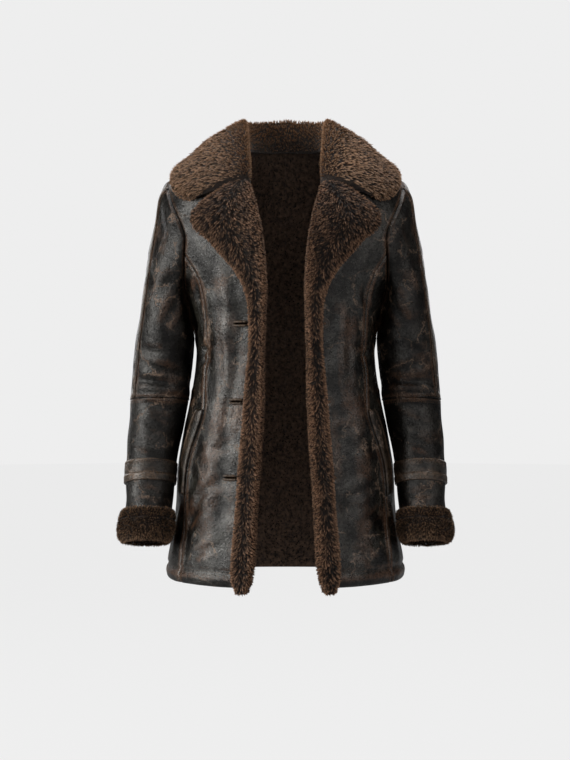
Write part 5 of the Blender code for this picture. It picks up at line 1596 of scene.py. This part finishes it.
# %% Lining fleece
LINING_TUFTS, LINING_LENGTH, LINING_WIDTH, LINING_LEAN = 9800, 6.0, 1.25, 42.0
LINING_CLEAR_OF_FACING, LINING_OFF_WALL = 14.0, 4.2
IN_VIEW_FROM, THIN_COVER = 105, 0.42  # from this angle on the fleece is sown thickly


def lining_tufts(side, suffix, seed):
    levels = np.concatenate([np.linspace(HEM + 7, UNDERARM, 60), np.linspace(UNDERARM, -4, 30)[1:]])
    start = front_edge_angle(levels) + LINING_CLEAR_OF_FACING
    share = np.linspace(0, 1, 46)
    angles = start[:, None] * (1 - share) + BACK * share
    places = np.broadcast_to(levels[:, None], angles.shape)
    up = -torso_normal(angles, places)
    grid = torso(angles, places) + up * (WALL + LINING_OFF_WALL)
    sway = np.random.default_rng(seed).uniform(0, 2 * np.pi, 3)
    bend = np.sin(angles / 7 + sway[0]) + np.sin(places / 23 + sway[1]) \
        + np.sin((angles * 3 + places) / 31 + sway[2])
    flow = np.stack([np.sin(bend * 1.3), 0 * bend, -np.abs(np.cos(bend * 1.3)) - 0.2], -1)
    in_armhole = (angles > front_armhole(places)) & (angles < back_armhole(places)) & (places > UNDERARM)
    cover = np.where(angles > IN_VIEW_FROM, 1.0, THIN_COVER) * ~in_armhole
    tint = 0.45 + 0.12 * np.sin(places / 37 + bend)
    lean, length = np.full(angles.shape, LINING_LEAN), np.full(angles.shape, LINING_LENGTH)
    made = grow(f"lining_fleece_{suffix}", lining_wool, side, grid, up, flow, lean, length, cover, tint,
                LINING_TUFTS // 2, seed, width=LINING_WIDTH)
    return put_on(made, "wool")


fleece = {suffix: lining_tufts(side, suffix, 41 + side) for side, suffix in SIDES}

# %% [markdown]
# ## What each piece is cut from
# A coat is cut flat. A pattern maker would lay a tape over each panel: across its widest row, down its
# longest column, and cell by cell for the area of its curved outline. The grids that the panels were made
# from answer all three, before any crease or seam is pressed in. A wool piece or a strip is a thicker form,
# so its cut is taken from half of its own surface and its long side.

# %% Cuts
def tape(points):
    """The length of each line of points along the second axis, in mm."""
    return np.linalg.norm(np.diff(points, axis=1), axis=-1).sum(1)


def cut_of(points, closed=False):
    """A grid's flat width, length and area, in metres."""
    if closed:
        points = np.concatenate([points, points[:, :1]], axis=1)
    width, length = tape(points).max(), tape(np.swapaxes(points, 0, 1)).max()
    cells = np.cross(points[1:, 1:] - points[:-1, :-1], points[1:, :-1] - points[:-1, 1:])
    return width * MM, length * MM, np.linalg.norm(cells, axis=-1).sum() / 2 * MM**2


def half_surface(made):
    return sum(face.area for face in made.data.polygons) / 2


NARROWEST_CUT = 0.011  # metres: a strip 7 mm wide needs about this for its two turned edges
CUFF_ROUND, STRAP_ROUND, STRIP_LONG = 290.0, 285.0, 345.0  # mm
cuts = {}
for key, (_, _, points) in panel_grids.items():
    panel, suffix = key.rsplit("_", 1)
    width, length, area = cut_of(points, closed=panel == "forearm")
    carried = []
    if panel == "front":
        carried.append(bpy.data.objects[f"stitches_{suffix}"])
    if panel == "back":
        carried.append(fleece[suffix])
    if key == "front_left":
        carried += [made for made in bpy.data.objects if made.name.startswith("button_")]
    cuts[key] = (width, length, area)


def declare_strip(made, long_side):
    """A narrow or thick piece: half its surface, over its long side in mm."""
    area = half_surface(made)
    flat = (max(area / (long_side * MM), NARROWEST_CUT), long_side * MM)
    cuts[made.name] = (*flat, area)


for _, suffix in SIDES:
    declare_strip(facing_cores[suffix], FACING[0][0] - FACING[-1][0])
    declare_strip(cuff_cores[suffix], CUFF_ROUND)
    declare_strip(straps[suffix], STRAP_ROUND)
    declare_strip(strips[suffix], STRIP_LONG)
    declare_strip(welts[suffix], WELT[0][0] - WELT[-1][0])
declare_strip(collar_core, tape(np.swapaxes(collar_skin, 0, 1)).mean())
for number in (1, 2, 3):
    declare_strip(bpy.data.objects[f"buttonhole_lips_{number}"], LIP_LENGTH)
for name, (width, length, area) in cuts.items():
    print(f"{name}: {width / MM:.0f} x {length / MM:.0f} mm, {area * 1e4:.0f} cm2")

# %% [markdown]
# ## The studio
# The photo is a catalogue picture: a pale backdrop, big soft lights, and so a coat that is nearly black yet
# keeps a grey-green sheen along its folds. The backdrop is the world as the camera sees it, and the same
# world lights the coat more dimly. A tall soft light from the left draws the long highlights, and a weak
# one keeps the right side from going black. A wide one above lights the collar, one in front opens the
# folds, and two behind pick out the edges. The floor lies 1.4 m below the neckline, as it would if the coat
# were worn.

# %% Stage, lights and camera
scene = bpy.context.scene
scene.view_settings.view_transform = "Standard"
scene.view_settings.look = "None"
BACKDROP, WORLD_LIGHT, WORLD_STRENGTH = "#eeeeee", "#eeeeea", 0.055
FLOOR_Z, FLOOR_RADIUS, FLOOR_SIDES = -1.40, 14000, 64  # in metres and mm
FLOOR_FILL, FLOOR_GLOW = 0.32, 0.967  # how brightly it glows for the coat and for the camera

world = bpy.data.worlds.new("studio")
world.use_nodes = True
scene.world = world
tree = world.node_tree
tree.nodes.clear()
seen = add(tree, "LightPath").outputs["Is Camera Ray"]
ambient = add(tree, "Background", {"Color": linear(WORLD_LIGHT), "Strength": WORLD_STRENGTH})
backdrop = add(tree, "Background", {"Color": linear(BACKDROP), "Strength": 1.0})
chosen = add(tree, "MixShader", {0: seen, 1: ambient.outputs[0], 2: backdrop.outputs[0]})
add(tree, "OutputWorld", {"Surface": chosen.outputs[0]})

floor_paint, tree, shader = new_material("studio_floor", 0.9, 1.4)
shader.inputs["Base Color"].default_value = linear("#1c1c1c")
shader.inputs["Emission Color"].default_value = linear(BACKDROP)
# The floor glows for the camera, and dimly for the coat, which would otherwise lose its dark folds.
seen = add(tree, "LightPath").outputs["Is Camera Ray"]
glow = add(tree, "MapRange", {"Value": seen, "To Min": FLOOR_FILL, "To Max": FLOOR_GLOW})
tree.links.new(glow.outputs["Result"], shader.inputs["Emission Strength"])
turns = np.linspace(0, 2 * np.pi, FLOOR_SIDES + 1)[:-1]
rim_x, rim_y = FLOOR_RADIUS * np.cos(turns), FLOOR_RADIUS * np.sin(turns)
ring = np.stack([rim_x, rim_y, np.full(FLOOR_SIDES, FLOOR_Z / MM)], -1)
centre = np.array([[0, 0, FLOOR_Z / MM]])
floor_faces = [(FLOOR_SIDES, k, (k + 1) % FLOOR_SIDES) for k in range(FLOOR_SIDES)]
floor = make_object("floor", np.concatenate([ring, centre]), floor_faces, [floor_paint], smooth=False)


MIDDLE_OF_COAT = (0.0, 0.0, -0.36)


def softbox(name, place, size, power, colour="#ffffff"):
    """A rectangle of light that faces the coat. Its size is in metres and its power in watts."""
    light = bpy.data.lights.new(name, "AREA")
    light.shape, light.size, light.size_y = "RECTANGLE", *size
    light.energy, light.color = power, linear(colour)[:3]
    made = bpy.data.objects.new(name, light)
    made.location = place
    towards = mathutils.Vector(MIDDLE_OF_COAT) - made.location
    made.rotation_euler = towards.to_track_quat("-Z", "Y").to_euler()
    scene.collection.objects.link(made)


softbox("left_softbox", (-2.7, -1.4, 0.15), (0.9, 1.8), 82, "#fcfaf5")
softbox("right_softbox", (2.2, -2.1, 0.65), (0.6, 1.9), 17, "#fff8f2")
softbox("top_softbox", (0.0, 0.1, 2.3), (2.0, 1.2), 72)
softbox("front_fill", (0.0, -3.6, 0.5), (2.2, 1.4), 17)
softbox("back_left_softbox", (-1.9, 2.5, 0.7), (1.2, 1.8), 26)
softbox("back_right_softbox", (1.3, 2.8, 0.7), (1.2, 1.8), 16)

CAMERA_PLACE, FRAME_HEIGHT_ANGLE = (-0.001, -2.3, -0.3956), 31.73
camera = bpy.data.cameras.new("photo_angle")
camera.sensor_width = 36
camera.lens = 18 / math.tan(math.radians(FRAME_HEIGHT_ANGLE / 2))
camera_object = bpy.data.objects.new("photo_angle", camera)
camera_object.location = CAMERA_PLACE
camera_object.rotation_euler = (math.radians(90), 0, 0)
scene.collection.objects.link(camera_object)
scene.camera = camera_object
print("lens:", round(camera.lens, 2), "mm")
